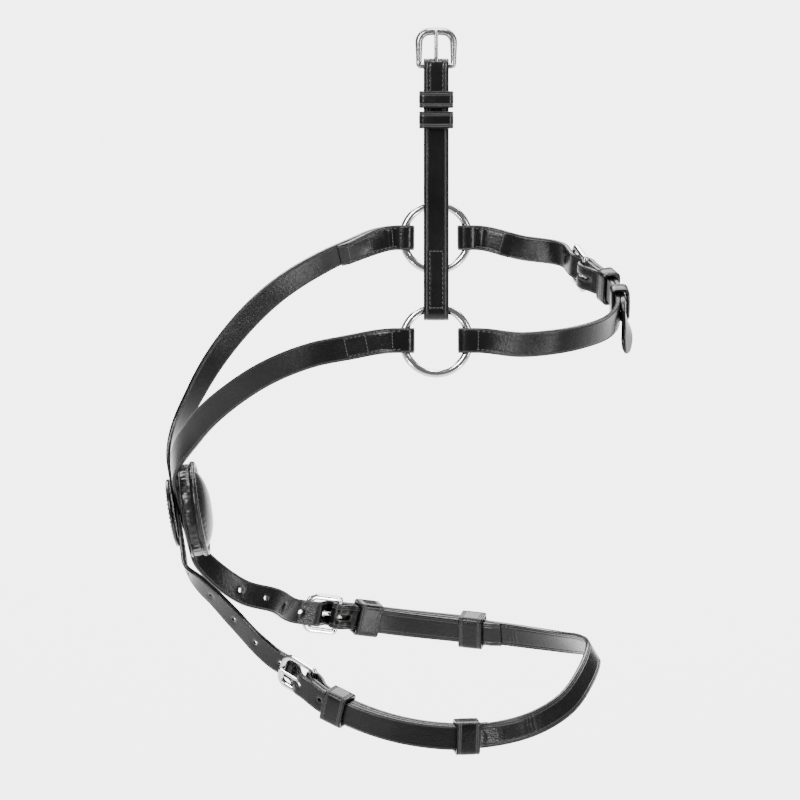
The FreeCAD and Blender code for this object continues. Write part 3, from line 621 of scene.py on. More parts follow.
def section(thick, creases, channels, wide=STRAP_W):
    """Loop of (across, outward) points, with what each is: 0 grain, 1 flesh, 2 edge."""
    half, ease_top, ease_low = wide / 2, 0.75, 0.6
    flat = half - ease_top
    lines = [-flat, flat] + [k * s for k in (0.4, 1.2, 2.0, 2.7, 3.6, 4.6) for s in (-1, 1)
                             if k < flat - 0.2]
    for c in creases:
        lines += [s * (c + d) for s in (-1, 1) for d in (-0.42, -0.2, 0.0, 0.2, 0.42)]
    for c in channels:
        lines += [s * (c + d) for s in (-1, 1) for d in (-0.55, -0.25, 0.0, 0.25, 0.55)]
    lines = np.unique(np.round(lines, 3))
    lines = lines[np.concatenate([[True], np.diff(lines) > 0.12])]
    lines = lines[np.abs(lines) <= flat + 1e-6]
    top = np.stack([lines, np.full(len(lines), thick / 2)], axis=1)
    a = np.radians([64.0, 38.0, 12.0])
    b = -np.radians([12.0, 38.0, 64.0])
    edge = np.concatenate([
        np.stack([flat + ease_top * np.cos(a), thick / 2 - ease_top + ease_top * np.sin(a)], axis=1),
        np.stack([half - ease_low + ease_low * np.cos(b),
                  -thick / 2 + ease_low + ease_low * np.sin(b)], axis=1)])
    low = top[::-1] * vec(1, -1)
    other = edge[::-1] * vec(-1, 1)
    loop = np.vstack([top, edge, low, other])
    kind = np.concatenate([np.zeros(len(top)), np.full(len(edge), 2),
                           np.ones(len(low)), np.full(len(other), 2)])
    return loop, kind, len(top)


def strap_rows(path, holes, bars):
    """Lengths of the cross-lines: close together in tight bends and beside holes."""
    probe = np.arange(0.0, path.length + 0.25, 0.5)
    t = path.at(np.clip(probe, 0, path.length))[1]
    bend = np.linalg.norm(np.diff(t, axis=0), axis=1) / 0.5
    step = np.clip(0.16 / np.maximum(bend, 1e-6), 0.55, 2.2)
    turns = np.concatenate([[0], np.cumsum(0.5 / step)])
    count = int(math.ceil(turns[-1]))
    rows = np.interp(np.linspace(0, turns[-1], count + 1), turns, np.clip(probe, 0, path.length))
    for s0 in bars:
        near = np.abs(rows - s0) < 0.9
        rows = np.sort(np.concatenate([rows[~near], s0 + vec(-0.6, -0.3, -0.12, 0.12, 0.3, 0.6)]))
    for s0, half, _ in holes:
        near = np.abs(rows - s0) < HOLE_SPREAD + half + 0.7
        lines = np.concatenate([NEAR_LINES[:8] - half, NEAR_LINES[8:] + half])
        if half:
            lines = np.concatenate([lines, np.linspace(-half - 0.4, half + 0.4, 7)[1:-1]])
        rows = np.sort(np.concatenate([rows[~near], s0 + lines]))
    return rows


def strap(name, path, material, *, wide=STRAP_W, thick=STRAP_T, taper=0.0, holes=(), creases=(),
          channels=(), bars=(), lined=False, closed=False, wobble=0.0, skive=(0.0, 0.0), seed=1):
    """Section carried along a path. The grain side sinks at crease lines and stitched
    channels as a bell curve, and at bars pressed across it. Rows near a hole are pulled
    onto its rim. A skived end thins towards its flesh side, a tapered one narrows as the
    square root of what is left, and the wobble is a sum of four slow sines."""
    loop, kind, tops = section(thick, creases, [c for c, _ in channels], wide)
    rows = strap_rows(path, holes, bars)
    if closed:
        rows = rows[:-1]
    m, k = len(rows), len(loop)
    s = np.repeat(rows[:, None], k, axis=1)
    w = np.repeat(loop[None, :, 0], m, axis=0)
    n = np.repeat(loop[None, :, 1], m, axis=0)
    grain, face = kind == 0, kind != 2
    press = np.zeros((m, k))
    # Painted highlight along the crease lines and round the hole rims, one value per point.
    worn = np.zeros((m, k))
    for c in creases:
        dip = np.exp(-((np.abs(w) - c) / 0.22)**2)
        press += 0.3 * dip * (grain | (face & lined))
        # Painted highlight along each crease line.
        worn += 0.9 * np.exp(-((np.abs(w) - c) / 0.3)**2) * face
    for c, spans in channels:
        on = sum(ease((s - a) / 1.5) * ease((b - s) / 1.5) for a, b in spans)
        press += 0.22 * on * np.exp(-((np.abs(w) - c) / 0.42)**2) * grain
    for s0 in bars:
        press += 0.24 * np.exp(-((s - s0) / 0.3)**2) * (grain | (face & lined))
    keep_cell = np.ones((m - (not closed), k), bool)
    walls = []
    for s0, half, radius in holes:
        ds, side = s - s0, np.abs(w)
        past = np.sign(ds) * np.maximum(np.abs(ds) - half, 0)
        square = np.maximum(np.abs(past), side)
        zone = (square < HOLE_SPREAD) & (np.abs(ds) < HOLE_SPREAD + half) & face
        reach = np.maximum(np.hypot(past, w), 1e-9)
        ring = radius + np.maximum(square - HOLE_CELL, 0)
        mix = ease((square - HOLE_CELL) / (HOLE_SPREAD - HOLE_CELL))
        pulled = past / reach * ring
        s = np.where(zone, s + (1 - mix) * (pulled - past), s)
        w = np.where(zone, w + (1 - mix) * (w / reach * ring - w), w)
        gap = np.where(zone, ring - radius, 9.0)
        press += 0.34 * np.exp(-(gap / 0.7)**2) * face
        # Painted highlight round each hole rim.
        worn += 0.9 * np.exp(-(gap / 0.5)**2) * grain
        r = np.where(np.abs(rows - s0) < HOLE_CELL + half + 1e-6)[0]
        c = np.where((np.abs(loop[:, 0]) < HOLE_CELL + 1e-6) & grain)[0]
        r0, r1, c0, c1 = r[0], r[-1], c[0], c[-1]
        keep_cell[r0:r1, c0:c1] = False
        under = 2 * tops + (k - 2 * tops) // 2 - 1
        keep_cell[r0:r1, under - c1:under - c0] = False
        rim = [(i, c0) for i in range(r0, r1)] + [(r1, j) for j in range(c0, c1)] \
            + [(i, c1) for i in range(r1, r0, -1)] + [(r0, j) for j in range(c1, c0, -1)]
        rim = np.array(rim)
        top_ids = rim[:, 0] * k + rim[:, 1]
        low_ids = rim[:, 0] * k + (under - rim[:, 1])
        nxt = np.roll(np.arange(len(rim)), -1)
        walls.append(np.stack([top_ids, top_ids[nxt], low_ids[nxt], low_ids], axis=1))
    n = n - np.sign(n) * press
    if taper:
        left = np.clip((path.length - s) / taper, 0, 1)
        w = w * (0.16 + 0.84 * np.sqrt(left))
        n = n * (0.45 + 0.55 * ease(left * 3.0))
    for skived, left in zip(skive, (s, path.length - s)):
        if skived:
            n = (n + thick / 2) * (0.35 + 0.65 * ease(left / skived)) - thick / 2
    if wobble:
        rng = np.random.default_rng(seed)
        phase = rng.uniform(0, 6.28, 4)
        drift = sum(np.sin(s / span + p) for span, p in zip((11.0, 17.0, 29.0, 41.0), phase)) / 4
        n = n + wobble * drift
    points = path.place(s, w, n).reshape(-1, 3)
    quads = grid_quads(m, k, close_rows=closed).reshape(-1, k, 4)[keep_cell[:m if closed else m - 1]]
    if walls:
        quads = np.vstack([quads] + walls)
    ends = [] if closed else [list(range(k)), [(m - 1) * k + i for i in range(k)][::-1]]
    edge = np.repeat((kind == 2)[None, :], m, axis=0).astype(float)
    suede = np.repeat(((kind == 1) & (not lined))[None, :].astype(float), m, axis=0)
    used = np.unique(np.concatenate([quads.ravel()] + [np.array(e) for e in ends]).astype(int))
    remap = np.full(m * k, -1)
    remap[used] = np.arange(len(used))
    # The painted highlight goes onto the mesh as a point attribute, beside the edge and flesh values.
    piece = write_mesh(name, points[used], remap[quads], material, [remap[e] for e in ends],
                       {"edge": edge.ravel()[used], "flesh": suede.ravel()[used],
                        "worn": np.clip(worn, 0, 1).ravel()[used]})
    print(name, len(piece.data.polygons), "faces")
    return piece


# %% [markdown]
# ## Stitches
# Saddlers sew about eight stitches to the inch, each thread lying at a slight slant in
# its channel. A stitch is a short capsule that bows up in the middle and dives into the
# leather at both ends. All the stitches of a strap are one mesh: one small template,
# copied to every place at once by an array product.

# %% Stitches
STITCH, THREAD, SLANT, SUNK = 3.1, 0.36, math.radians(9.0), 0.08


def stitches(name, path, spots, lift, body, slot="strap_leather", length=2.5):
    """Capsules at (length along, across, quarter turn) spots, bowed above the surface."""
    spots = np.asarray(spots, float)
    around, along = 7, 7
    x = np.linspace(-1, 1, along)
    girth = THREAD * np.sqrt(np.clip(1 - (np.abs(x) ** 3) * 0.96, 0.04, 1))
    a = 2 * np.pi * np.arange(around) / around
    lx = np.repeat(x[:, None] * length / 2, around, axis=1)
    ly = girth[:, None] * np.cos(a)
    lz = girth[:, None] * np.sin(a) + (0.14 - 0.34 * x**2)[:, None]
    p, t, n, w = path.at(spots[:, 0])
    turn = spots[:, 2] * math.pi / 2 + SLANT
    u = t * np.cos(turn)[:, None] + w * np.sin(turn)[:, None]
    v = np.cross(n, u)
    base = p + w * spots[:, 1:2] + n * lift
    points = (base[:, None, None] + lx[..., None] * u[:, None, None] + ly[..., None] * v[:, None, None]
              + lz[..., None] * n[:, None, None]).reshape(-1, 3)
    per = around * along
    quads = grid_quads(along, around)[:, ::-1]
    ends = end_faces(along, around)
    shift = np.arange(len(spots)) * per
    all_quads = (quads[None] + shift[:, None, None]).reshape(-1, 4)
    caps = [[i + d for i in e] for d in shift for e in ends]
    piece = write_mesh(name, points, all_quads, thread_black, caps, sharp=60.0)
    settle(piece, body, slot)
    print(name, len(spots), "stitches")
    return piece


def run_of(a, b, across):
    """Stitch spots along a strap from a to b, on both sides."""
    s = np.arange(a, b + 0.1, STITCH)
    return [(q, side * across, 0) for side in (-1, 1) for q in s]


def row_across(s, reach, pitch=2.2):
    return [(s, w, 1) for w in np.arange(-reach + pitch / 2, reach, pitch)]


def seams_about(fold, first, last):
    """The sewn spans on both sides of a fold, from first to last millimetres away."""
    return [(fold - last, fold - first), (fold + first, fold + last)]


def sew(name, path, seams, across, rows, body="noseband"):
    """Stitches down both edges of each seam, and short rows across at the given lengths."""
    spots = [spot for a, b in seams for spot in run_of(a, b, across)]
    for s in rows:
        spots += row_across(s, across)
    stitches(name, path, spots, STRAP_T / 2 - SUNK, body)


# %% [markdown]
# ## The straps
# The billets are punched at one pitch. The hole that the tongue is in has been pulled
# long, so it is an oval. A strap end that wraps a bar is sewn to its own back, with rows
# down both edges and short rows across, and a pair of creases is pressed along it.

# %% Holes in the billets
PIERCE, WORN_HALF, NOTCH_HALF, SLOT_R = 0.36, 2.2, 4.4, 1.9
BILLET_TAPER = 9.0


def billet_holes(path, buckle, before, after):
    """Centres along the strap: one worn long, the others round, at the same pitch."""
    s0 = path.nearest(buckle.place(vec(PIERCE * BARS, 0, BAR + TONGUE)))
    steps = [k for k in range(-before, after + 1) if k]
    round_holes = [(s0 + k * HOLE_PITCH, 0.0, HOLE_D / 2 - CLOSED_IN) for k in steps]
    return [(s0, WORN_HALF, SLOT_R)] + round_holes


RING_ARC = math.pi * RING_TURN
NOSE_FOLD = NOSE_TAIL + RING_ARC / 2
SEAM = 5.8
near_holes = billet_holes(near_nose_path, off_chin, 4, 1)
off_holes = billet_holes(off_nose_path, near_chin, 5, 1)
jaw_holes = billet_holes(off_jaw_path, jaw, 1, 0)
print("billet holes", len(near_holes), len(off_holes), len(jaw_holes))

# %% [markdown]
# ## Nose straps
# Each runs from its ring, over the nose, through the far chin buckle and back along the
# chin strap. Only the ring end is sewn. The grain faces out, and the straps are lined,
# so the side seen on the far half is smooth as well.

# %% Nose straps
nose_seams = seams_about(NOSE_FOLD, 11, 47)
nose_rows = [NOSE_FOLD + d for d in (-47, -32, -15, 15, 32, 47)]
for side, path, holes in (("near", near_nose_path, near_holes), ("off", off_nose_path, off_holes)):
    piece = strap(side + "_nose_leather", path, strap_black, taper=BILLET_TAPER, holes=holes,
                  lined=True, creases=(7.0,), channels=[(SEAM, nose_seams)], wobble=0.12,
                  skive=(5.0, 0.0), seed=len(side))
    settle(piece, "noseband", "strap_leather", side + "_nose_strap")
    sew(side + "_nose_stitches", path, nose_seams, SEAM, nose_rows)

# %% [markdown]
# ## Jaw straps
# The short strap carries the jaw buckle and is cut from a thicker piece, with its flesh
# side left rough. The long one comes from the off ring and passes through the buckle.

# %% Jaw straps
def notch_hole(path, buckle):
    """The opening that lets the tongue reach the heel bar, centred on the turn."""
    p = path.at(path.s)[0]
    return float(path.s[np.argmin(np.linalg.norm(p - buckle.place(vec(-BAR_TURN, 0, 0)), axis=1))])


jaw_fold = notch_hole(near_jaw_path, jaw)
near_jaw_fold = NEAR_JAW_TAIL + RING_ARC / 2
jaw_seams = [(near_jaw_fold + 14, near_jaw_fold + 31), (jaw_fold - 33, jaw_fold - 12)]
jaw_strap = strap("near_jaw_leather", near_jaw_path, jaw_black, holes=[(jaw_fold, NOTCH_HALF, SLOT_R)],
                  creases=(7.0,), channels=[(SEAM, jaw_seams)], wobble=0.1, skive=(4.0, 4.0), seed=7)
settle(jaw_strap, "noseband", "strap_leather", "near_jaw_strap")
sew("near_jaw_stitches", near_jaw_path, jaw_seams, SEAM,
    (near_jaw_fold + 14, near_jaw_fold + 31, jaw_fold - 12))

off_jaw_fold = OFF_JAW_TAIL + RING_ARC / 2
off_seams = seams_about(off_jaw_fold, 11, 32)
billet = strap("off_jaw_leather", off_jaw_path, strap_black, taper=BILLET_TAPER, holes=jaw_holes,
               lined=True, creases=(7.0,), channels=[(SEAM, off_seams)], wobble=0.1,
               skive=(5.0, 0.0), seed=9)
settle(billet, "noseband", "strap_leather", "off_jaw_strap")
sew("off_jaw_stitches", off_jaw_path, off_seams, SEAM, (off_jaw_fold - 32, off_jaw_fold + 32))

# %% [markdown]
# ## Chin strap
# The chin strap has a buckle at each end. Its ends run far back along its own inner
# side, which makes it stiff under the billets. Two creases follow each edge, and three
# are pressed across where the doubled part begins.

# %% Chin strap
near_turn = notch_hole(chin_path, near_chin)
off_turn = notch_hole(chin_path, off_chin)
cross_lines = [chin_path.nearest(vec(x, side * 84.0, -267.0)) + d
               for x, side in ((61.0, -1.0), (49.0, 1.0)) for d in (-2.6, 0.0, 2.6)]
chin = strap("chin_leather", chin_path, strap_black, lined=True, creases=(5.3, 6.8),
             holes=[(at, NOTCH_HALF, SLOT_R) for at in (near_turn, off_turn)], bars=cross_lines,
             wobble=0.1, skive=(7.0, 7.0), seed=12)
settle(chin, "noseband", "strap_leather", "chin_strap")

# %% [markdown]
# ## Cheekpiece
# The cheekpiece hangs from its buckle and holds the noseband up. It is doubled at both
# ends, creased down its whole length and stitched inside the creases.

# %% Cheekpiece
CHEEK_SEAM = 4.1
cheek_path_turn = notch_hole(cheek_path, cheek)
foot_fold = FOOT_TAIL + math.pi * CHEEK_TURN / 2
cheek_seams = [(foot_fold + 12, foot_fold + 48), (cheek_path_turn - 52, cheek_path_turn - 11)]
hanger = strap("cheek_leather", cheek_path, strap_black, lined=True, creases=(5.9,),
               channels=[(CHEEK_SEAM, cheek_seams)], holes=[(cheek_path_turn, NOTCH_HALF, SLOT_R)],
               wobble=0.08, skive=(5.0, 5.0), seed=15)
settle(hanger, "cheek", "strap_leather", "cheekpiece")
sew("cheek_stitches", cheek_path, cheek_seams, CHEEK_SEAM,
    (foot_fold + 12, foot_fold + 48, cheek_path_turn - 52, cheek_path_turn - 11), "cheek")

# %% [markdown]
# ## Round things
# Rings, the disc and the pad are all surfaces of revolution or close to it: a profile
# of (radius, height) turned about an axis. Working it out as one array lets a small
# ripple be added where the leather is gathered.

# %% Revolved surfaces
def frame_of(axis, side=vec(0, 1, 0)):
    out = unit(axis)
    a = unit(side - out * (side @ out))
    return a, np.cross(out, a), out


def revolve(name, profile, centre, axis, material, count=160, ripple=None, closed=True):
    """Profile (radius, height) turned about the axis; ripple(angle, row) adds (dr, dh)."""
    profile = np.asarray(profile, float)
    a, b, out = frame_of(axis)
    turn = 2 * np.pi * np.arange(count) / count
    r = np.repeat(profile[:, :1], count, axis=1)
    h = np.repeat(profile[:, 1:2], count, axis=1)
    if ripple:
        dr, dh = ripple(turn[None, :], np.arange(len(profile))[:, None])
        r, h = r + dr, h + dh
    points = (centre + r[..., None] * (np.cos(turn)[:, None] * a + np.sin(turn)[:, None] * b)
              + h[..., None] * out)
    quads = grid_quads(len(profile), count, close_rows=closed)[:, ::-1]
    ends = [] if closed else end_faces(len(profile), count)
    return write_mesh(name, points.reshape(-1, 3), quads, material, ends)


def circle_profile(radius, thick, count):
    a = 2 * np.pi * np.arange(count) / count
    return np.stack([radius + thick * np.cos(a), thick * np.sin(a)], axis=1)


# %% [markdown]
# ## Cheek rings
# A ring is bent from round wire, welded and polished. The weld leaves a very slight
# swelling, which catches the light.

# %% Cheek rings
WIRE_SIDES, WELD_AT, WELD_WIDE, WELD_HIGH = 28, 4.2, 0.09, 0.12


def weld(turn, row):
    """A bell-shaped swelling round the wire at one angle of the ring."""
    swell = WELD_HIGH * np.exp(-((turn - WELD_AT) / WELD_WIDE)**2)
    a = 2 * np.pi * row / WIRE_SIDES
    return swell * np.cos(a), swell * np.sin(a)


for side, centre, out in (("near", NEAR_C, OUT_NEAR), ("off", OFF_C, -OUT_NEAR)):
    ring = revolve(side + "_ring_wire", circle_profile(RING_R, RING_WIRE, WIRE_SIDES), centre, out,
                   ring_bright, ripple=weld)
    settle(ring, side + "_ring", "ring_steel", side + "_ring")
print("ring outside", round(2 * (RING_R + RING_WIRE), 1), "mm")

# %% [markdown]
# ## Buckle frames
# A bridle buckle is one bar bent to a rectangle, with a slim round heel that the strap
# turns on. The bar's section goes along a closed rounded rectangle: round at the heel,
# flatter on top elsewhere, where the polisher has leaned on it.

# %% Buckle frames
def rounded_loop(x0, x1, half, r0, r1, bow=0.0, count=26):
    """Points of a rounded rectangle in (along, across), starting mid heel; the far side
    may bow out as 1 - (y / half)^2."""
    arcs = []
    for cx, cy, r in ((x0 + r0, -half + r0, r0), (x1 - r1, -half + r1, r1)):
        a = np.linspace(0, math.pi / 2, 12)
        turn = (math.pi + a) if cx < x1 / 2 else (1.5 * math.pi + a)
        arcs.append(np.stack([cx + r * np.cos(turn), cy + r * np.sin(turn)], axis=1))
    low, far = arcs
    heel = np.stack([np.full(count, x0), np.linspace(0, -half + r0, count, endpoint=False)], axis=1)
    side = np.stack([np.linspace(x0 + r0, x1 - r1, count + 2)[1:-1], np.full(count, -half)], axis=1)
    front = np.stack([np.full(count, x1), np.linspace(-half + r1, 0, count + 1)[1:]], axis=1)
    lower = np.vstack([heel, low, side, far, front])
    upper = (lower * vec(1, -1))[::-1][1:-1]
    loop = np.vstack([lower, upper])
    grow = np.clip(loop[:, 0] / x1, 0, 1) ** 3
    loop[:, 0] += bow * grow * (1 - (loop[:, 1] / half)**2)
    return loop


def buckle_frame(name, buckle, material, bow=0.0, flat=0.62, corner=4.6, broad=0.2):
    """Bar section |x/a|^p + |z/b|^p = 1 along the loop, with p = 2 at the heel and a
    growing by the share broad towards the far bar."""
    loop = rounded_loop(0.0, BARS, FRAME_WIDE / 2 - BAR, 1.2, corner, bow)
    ahead, behind = np.roll(loop, -1, axis=0), np.roll(loop, 1, axis=0)
    along = unit(ahead - behind)
    side = np.stack([along[:, 1], -along[:, 0]], axis=1)
    body = ease((loop[:, 0] - 0.5) / 3.0)[:, None]
    power = 2.0 + 1.1 * body
    a = 2 * np.pi * np.arange(28)[None, :] / 28
    c, s = np.cos(a), np.sin(a)
    x = BAR * np.sign(c) * np.abs(c) ** (2 / power) * (1 + broad * ease(loop[:, :1] / BARS))
    z = BAR * np.sign(s) * np.abs(s) ** (2 / power)
    z = np.where(z > 0, z * (1 - 0.12 * body), z)
    z = z - flat * body * np.clip(np.abs(x) / BAR - 0.35, 0, 1) * (z > 0)
    local = np.zeros((len(loop), 28, 3))
    local[..., 0] = loop[:, None, 0] + side[:, None, 0] * x
    local[..., 1] = loop[:, None, 1] + side[:, None, 1] * x
    local[..., 2] = z
    piece = write_mesh(name, buckle.place(local).reshape(-1, 3),
                       grid_quads(len(loop), 28, close_rows=True), material, sharp=50.0)
    return settle(piece, buckle.name + "_buckle", "buckle_steel", buckle.name + "_frame")


buckle_frame("near_chin_buckle_bar", near_chin, buckle_bright, bow=0.7)
buckle_frame("off_chin_buckle_bar", off_chin, buckle_bright, bow=0.7)
buckle_frame("jaw_buckle_bar", jaw, buckle_bright, bow=0.7)
buckle_frame("cheek_buckle_bar", cheek, buckle_satin, bow=1.0, flat=1.0, corner=6.0, broad=0.35)
print("buckles", FRAME_WIDE, "mm wide")

# %% [markdown]
# ## Tongues
# A tongue is a rod with one end rolled round the heel bar. It passes up through the
# notch in its strap and rests on the far bar, where its tip is rounded over.

# %% Tongues
EYE_R, EYE_T, ROD_T = BAR + 0.95, 0.82, 1.15
TIP = BARS + 1.9
ROOT_HALF, SLIMMER = 1.42, 0.2
AROUND = 20


def tongue(buckle, material):
    """Section carried along an arc round the bar and then a slightly arched line."""
    a = np.radians(np.linspace(-215.0, 80.0, 56))
    eye = EYE_R * np.stack([-np.cos(a), np.sin(a)], axis=1)
    x = np.linspace(0.9, TIP, 52)
    rise = EYE_R + 0.5 * ease(x / 6.0) - 0.32 * ease((x - 12.0) / 9.0)
    line = np.vstack([eye, np.stack([x, rise], axis=1)])
    run = np.concatenate([[0], np.cumsum(np.linalg.norm(np.diff(line, axis=0), axis=1))])
    along = unit(np.gradient(line, run, axis=0))
    out = np.stack([-along[:, 1], along[:, 0]], axis=1)
    rod = ease((line[:, 0] - 0.5) / 3.0) * (run > run[len(eye) - 1] - 0.5)
    left = (run[-1] - run)[:, None]
    tip = np.sqrt(np.clip(1 - (1 - np.clip(left / 1.3, 0, 1)) ** 2, 0.02, 1))
    start = np.sqrt(np.clip(1 - (1 - np.clip(run[:, None] / 0.7, 0, 1)) ** 2, 0.05, 1))
    wide = (ROOT_HALF - SLIMMER * ease(run / run[-1]))[:, None] * tip * start
    tall = (EYE_T + (ROD_T - EYE_T) * rod)[:, None] * tip * start
    g = 2 * np.pi * np.arange(AROUND)[None, :] / AROUND
    local = np.zeros((len(line), AROUND, 3))
    local[..., 0] = line[:, None, 0] + out[:, None, 0] * tall * np.sin(g)
    local[..., 2] = line[:, None, 1] + out[:, None, 1] * tall * np.sin(g)
    local[..., 1] = wide * np.cos(g)
    piece = write_mesh(buckle.name + "_tongue_rod", buckle.place(local).reshape(-1, 3),
                       grid_quads(len(line), AROUND)[:, ::-1], material,
                       end_faces(len(line), AROUND), sharp=60.0)
    return settle(piece, buckle.name + "_tongue", "tongue_steel", buckle.name + "_tongue")


for buckle in (near_chin, off_chin, jaw):
    tongue(buckle, buckle_bright)
tongue(cheek, buckle_satin)
print("tongues", round(TIP, 1), "mm from bar to tip")

# %% [markdown]
# ## Keepers
# A keeper is a short strap closed into a loop round the plies, sewn flat on the inside.
# The fixed one is tight to the buckle and the runner slides. The grain is creased near
# both edges and stands a little proud on the outside, where it was wetted and shaped.

# %% Keepers
class Station:
    """A still frame on a path: where a keeper sits, on the top ply."""

    def __init__(self, path, s, lift=0.0):
        p, _, n, w = path.at(vec(s))
        self.p, self.n, self.w = p[0] + n[0] * lift, n[0], w[0]


def keeper(name, body, station, plies, long, seed, bulge=0.35):
    """Closed strap section; its path is a rounded rectangle about the plies, with the
    outside bowed as 1 - (y / half)^2."""
    inner = STRAP_W / 2 + KEEP_AIR
    stack = plies * STRAP_T + (plies - 1) * PLY_GAP + 2 * KEEP_AIR
    mid = STRAP_T / 2 + KEEP_AIR - stack / 2
    half_y, half_z, r = inner + KEEP_T / 2, stack / 2 + KEEP_T / 2, KEEP_T / 2 + 0.9
    a = np.linspace(0, math.pi / 2, 9)
    corner = np.stack([np.sin(a), -np.cos(a)], axis=1)
    flat = np.linspace(0, half_y - r, 9, endpoint=False)
    rise = np.linspace(-half_z + r, half_z - r, 10)[1:-1]
    p = np.vstack([np.stack([flat, np.full(9, -half_z)], axis=1),
                   vec(half_y - r, -half_z + r) + r * corner,
                   np.stack([np.full(8, half_y), rise], axis=1),
                   vec(half_y - r, half_z - r) + r * corner[::-1] * vec(1, -1)])
    n = np.vstack([np.tile(vec(0, -1), (9, 1)), corner, np.tile(vec(1, 0), (8, 1)),
                   corner[::-1] * vec(1, -1)])
    top = np.stack([np.linspace(half_y - r, 0, 10)[1:], np.full(9, half_z)], axis=1)
    p, n = np.vstack([p, top]), np.vstack([n, np.tile(vec(0, 1), (9, 1))])
    p = np.vstack([p, (p * vec(-1, 1))[::-1][1:]])
    n = np.vstack([n, (n * vec(-1, 1))[::-1][1:]])
    p[:, 1] += np.where(p[:, 1] > 0, bulge * np.clip(1 - (p[:, 0] / half_y)**2, 0, 1), 0)
    points = station.p + p[:, :1] * station.w + (p[:, 1:] + mid) * station.n
    outs = n[:, :1] * station.w + n[:, 1:] * station.n
    route = Path(points, outs)
    piece = strap(name + "_loop", route, keeper_black, wide=long, thick=KEEP_T, closed=True,
                  lined=True, creases=(long / 2 - 1.5, long / 2 - 2.6), wobble=0.05, seed=seed)
    settle(piece, body, "keeper_leather", name)


def past(path, buckle, distance):
    """Station on a billet a distance past the buckle's heel."""
    return Station(path, path.nearest(buckle.place(vec(0, 0, OVER))) + distance)


for name, body, path, buckle, distance, plies, long, seed in (
        ("near_chin_keeper", "noseband", off_nose_path, near_chin, 24.0, 3, CHIN_KEEPER, 2),
        ("near_chin_runner", "near_chin_runner", off_nose_path, near_chin, 113.0, 3, CHIN_KEEPER, 3),
        ("off_chin_keeper", "noseband", near_nose_path, off_chin, 24.0, 3, CHIN_KEEPER, 4),
        ("off_chin_runner", "off_chin_runner", near_nose_path, off_chin, 96.0, 3, CHIN_KEEPER, 5),
        ("jaw_keeper", "noseband", off_jaw_path, jaw, 21.0, 2, SLIM_KEEPER, 6),
        ("jaw_runner", "jaw_runner", off_jaw_path, jaw, 49.0, 2, SLIM_KEEPER, 7)):
    keeper(name, body, past(path, buckle, distance), plies, long, seed=seed)
for name, body, run in (("cheek_keeper", "cheek", 21.5), ("cheek_runner", "cheek_runner", 34.5)):
    keeper(name, body, Station(cheek_main, cheek_main.length - run, PLY), 3, SLIM_KEEPER, seed=8)
print("keepers", CHIN_KEEPER, "and", SLIM_KEEPER, "mm long")

# %% [markdown]
# ## Nose disc
# The crossing of the straps is covered by a round of glossy leather, blocked to a low
# dome, with a pressed bead near its edge and a ring of stitches inside that.

# %% Nose disc
DISC_R, DISC_STITCHES = 22.0, 38
bead_r, sew_r = 19.7, 17.6
r = np.concatenate([np.linspace(1.0, 16.6, 18), np.linspace(16.9, 21.0, 40)])
sink = 0.34 * np.exp(-((r - bead_r) / 0.3)**2) + 0.3 * np.exp(-((r - sew_r) / 0.42)**2)
top = np.stack([r, DISC_T - 0.5 + 0.5 * (1 - (r / DISC_R)**2) - sink], axis=1)
a = np.linspace(math.pi / 2, -math.pi / 2, 13)[1:-1]
rim = np.stack([21.0 + 1.0 * np.cos(a), 1.25 + 1.2 * np.sin(a)], axis=1)
low = np.stack([np.linspace(21.0, 1.0, 12), np.full(12, 0.05)], axis=1)
profile = np.vstack([top, rim, low])
side_a, side_b, _ = frame_of(NOSE_OUT)
disc = revolve("nose_disc_round", profile[::-1], PAD_C + NOSE_OUT * DISC_LOW, NOSE_OUT, disc_black,
               count=192, closed=False)
settle(disc, "noseband", "disc_leather", "nose_disc")
turns = 2 * np.pi * np.arange(DISC_STITCHES) / DISC_STITCHES
ring_p = PAD_C + NOSE_OUT * (DISC_LOW + DISC_T - 0.3) \
    + sew_r * (np.cos(turns)[:, None] * side_a + np.sin(turns)[:, None] * side_b)
wrap = np.vstack([ring_p, ring_p[:1]])
ring_path = Path(wrap, np.tile(NOSE_OUT, (len(wrap), 1)))
stitches("nose_disc_stitches", ring_path, [(s, 0, 0) for s in ring_path.s[:-1] + 0.4], 0.1,
         "noseband", "disc_leather", length=2.3)
print("disc", 2 * DISC_R, "mm")

# %% [markdown]
# ## Pad behind the crossing
# The pad keeps the crossing off the bone of the nose. A stiff backing disc carries a wall
# of thin leather gathered into pleats, a rolled rim, and a soft face over foam that is
# pulled in at the edge, so small puckers run in from the rim and fade out.

# %% Backing, wall, rim and face
PAD_R, RIM_T = 30.0, 2.0
a = np.linspace(-math.pi / 2, math.pi / 2, 9)
edge = np.stack([PAD_R - 0.9 + 0.9 * np.cos(a), BACK_T / 2 + (BACK_T / 2) * np.sin(a)], axis=1)
back = np.vstack([np.stack([np.linspace(1.0, PAD_R - 0.9, 10)[:-1], np.zeros(9)], axis=1), edge,
                  np.stack([np.linspace(PAD_R - 0.9, 1.0, 10)[1:], np.full(9, BACK_T)], axis=1)])
backing = revolve("pad_backing_round", back, PAD_C + NOSE_OUT * BACK_LOW, NOSE_OUT, strap_black,
                  closed=False)
settle(backing, "noseband", "pad_leather", "pad_backing")

PLEATS = 36


def pleated(turn, row):
    """Gathers: a sharpened cosine whose depth swells mid wall and drifts round it."""
    rng = np.random.default_rng(21)
    drift = sum(0.35 * np.sin(k * turn + p) for k, p in zip((3, 5, 8, 13), rng.uniform(0, 6.28, 4)))
    wave = np.cos(PLEATS * turn + drift * 2.4)
    fold = np.sign(wave) * np.abs(wave) ** 0.7
    depth = np.where(row < 16, 0.2 * np.sin(math.pi * np.clip(row / 15, 0, 1)) ** 0.7, 0.0)
    size = 0.75 + 0.25 * np.sin(7 * turn + 1.1)
    return depth * fold * size, 0.0 * turn + 0.0 * row


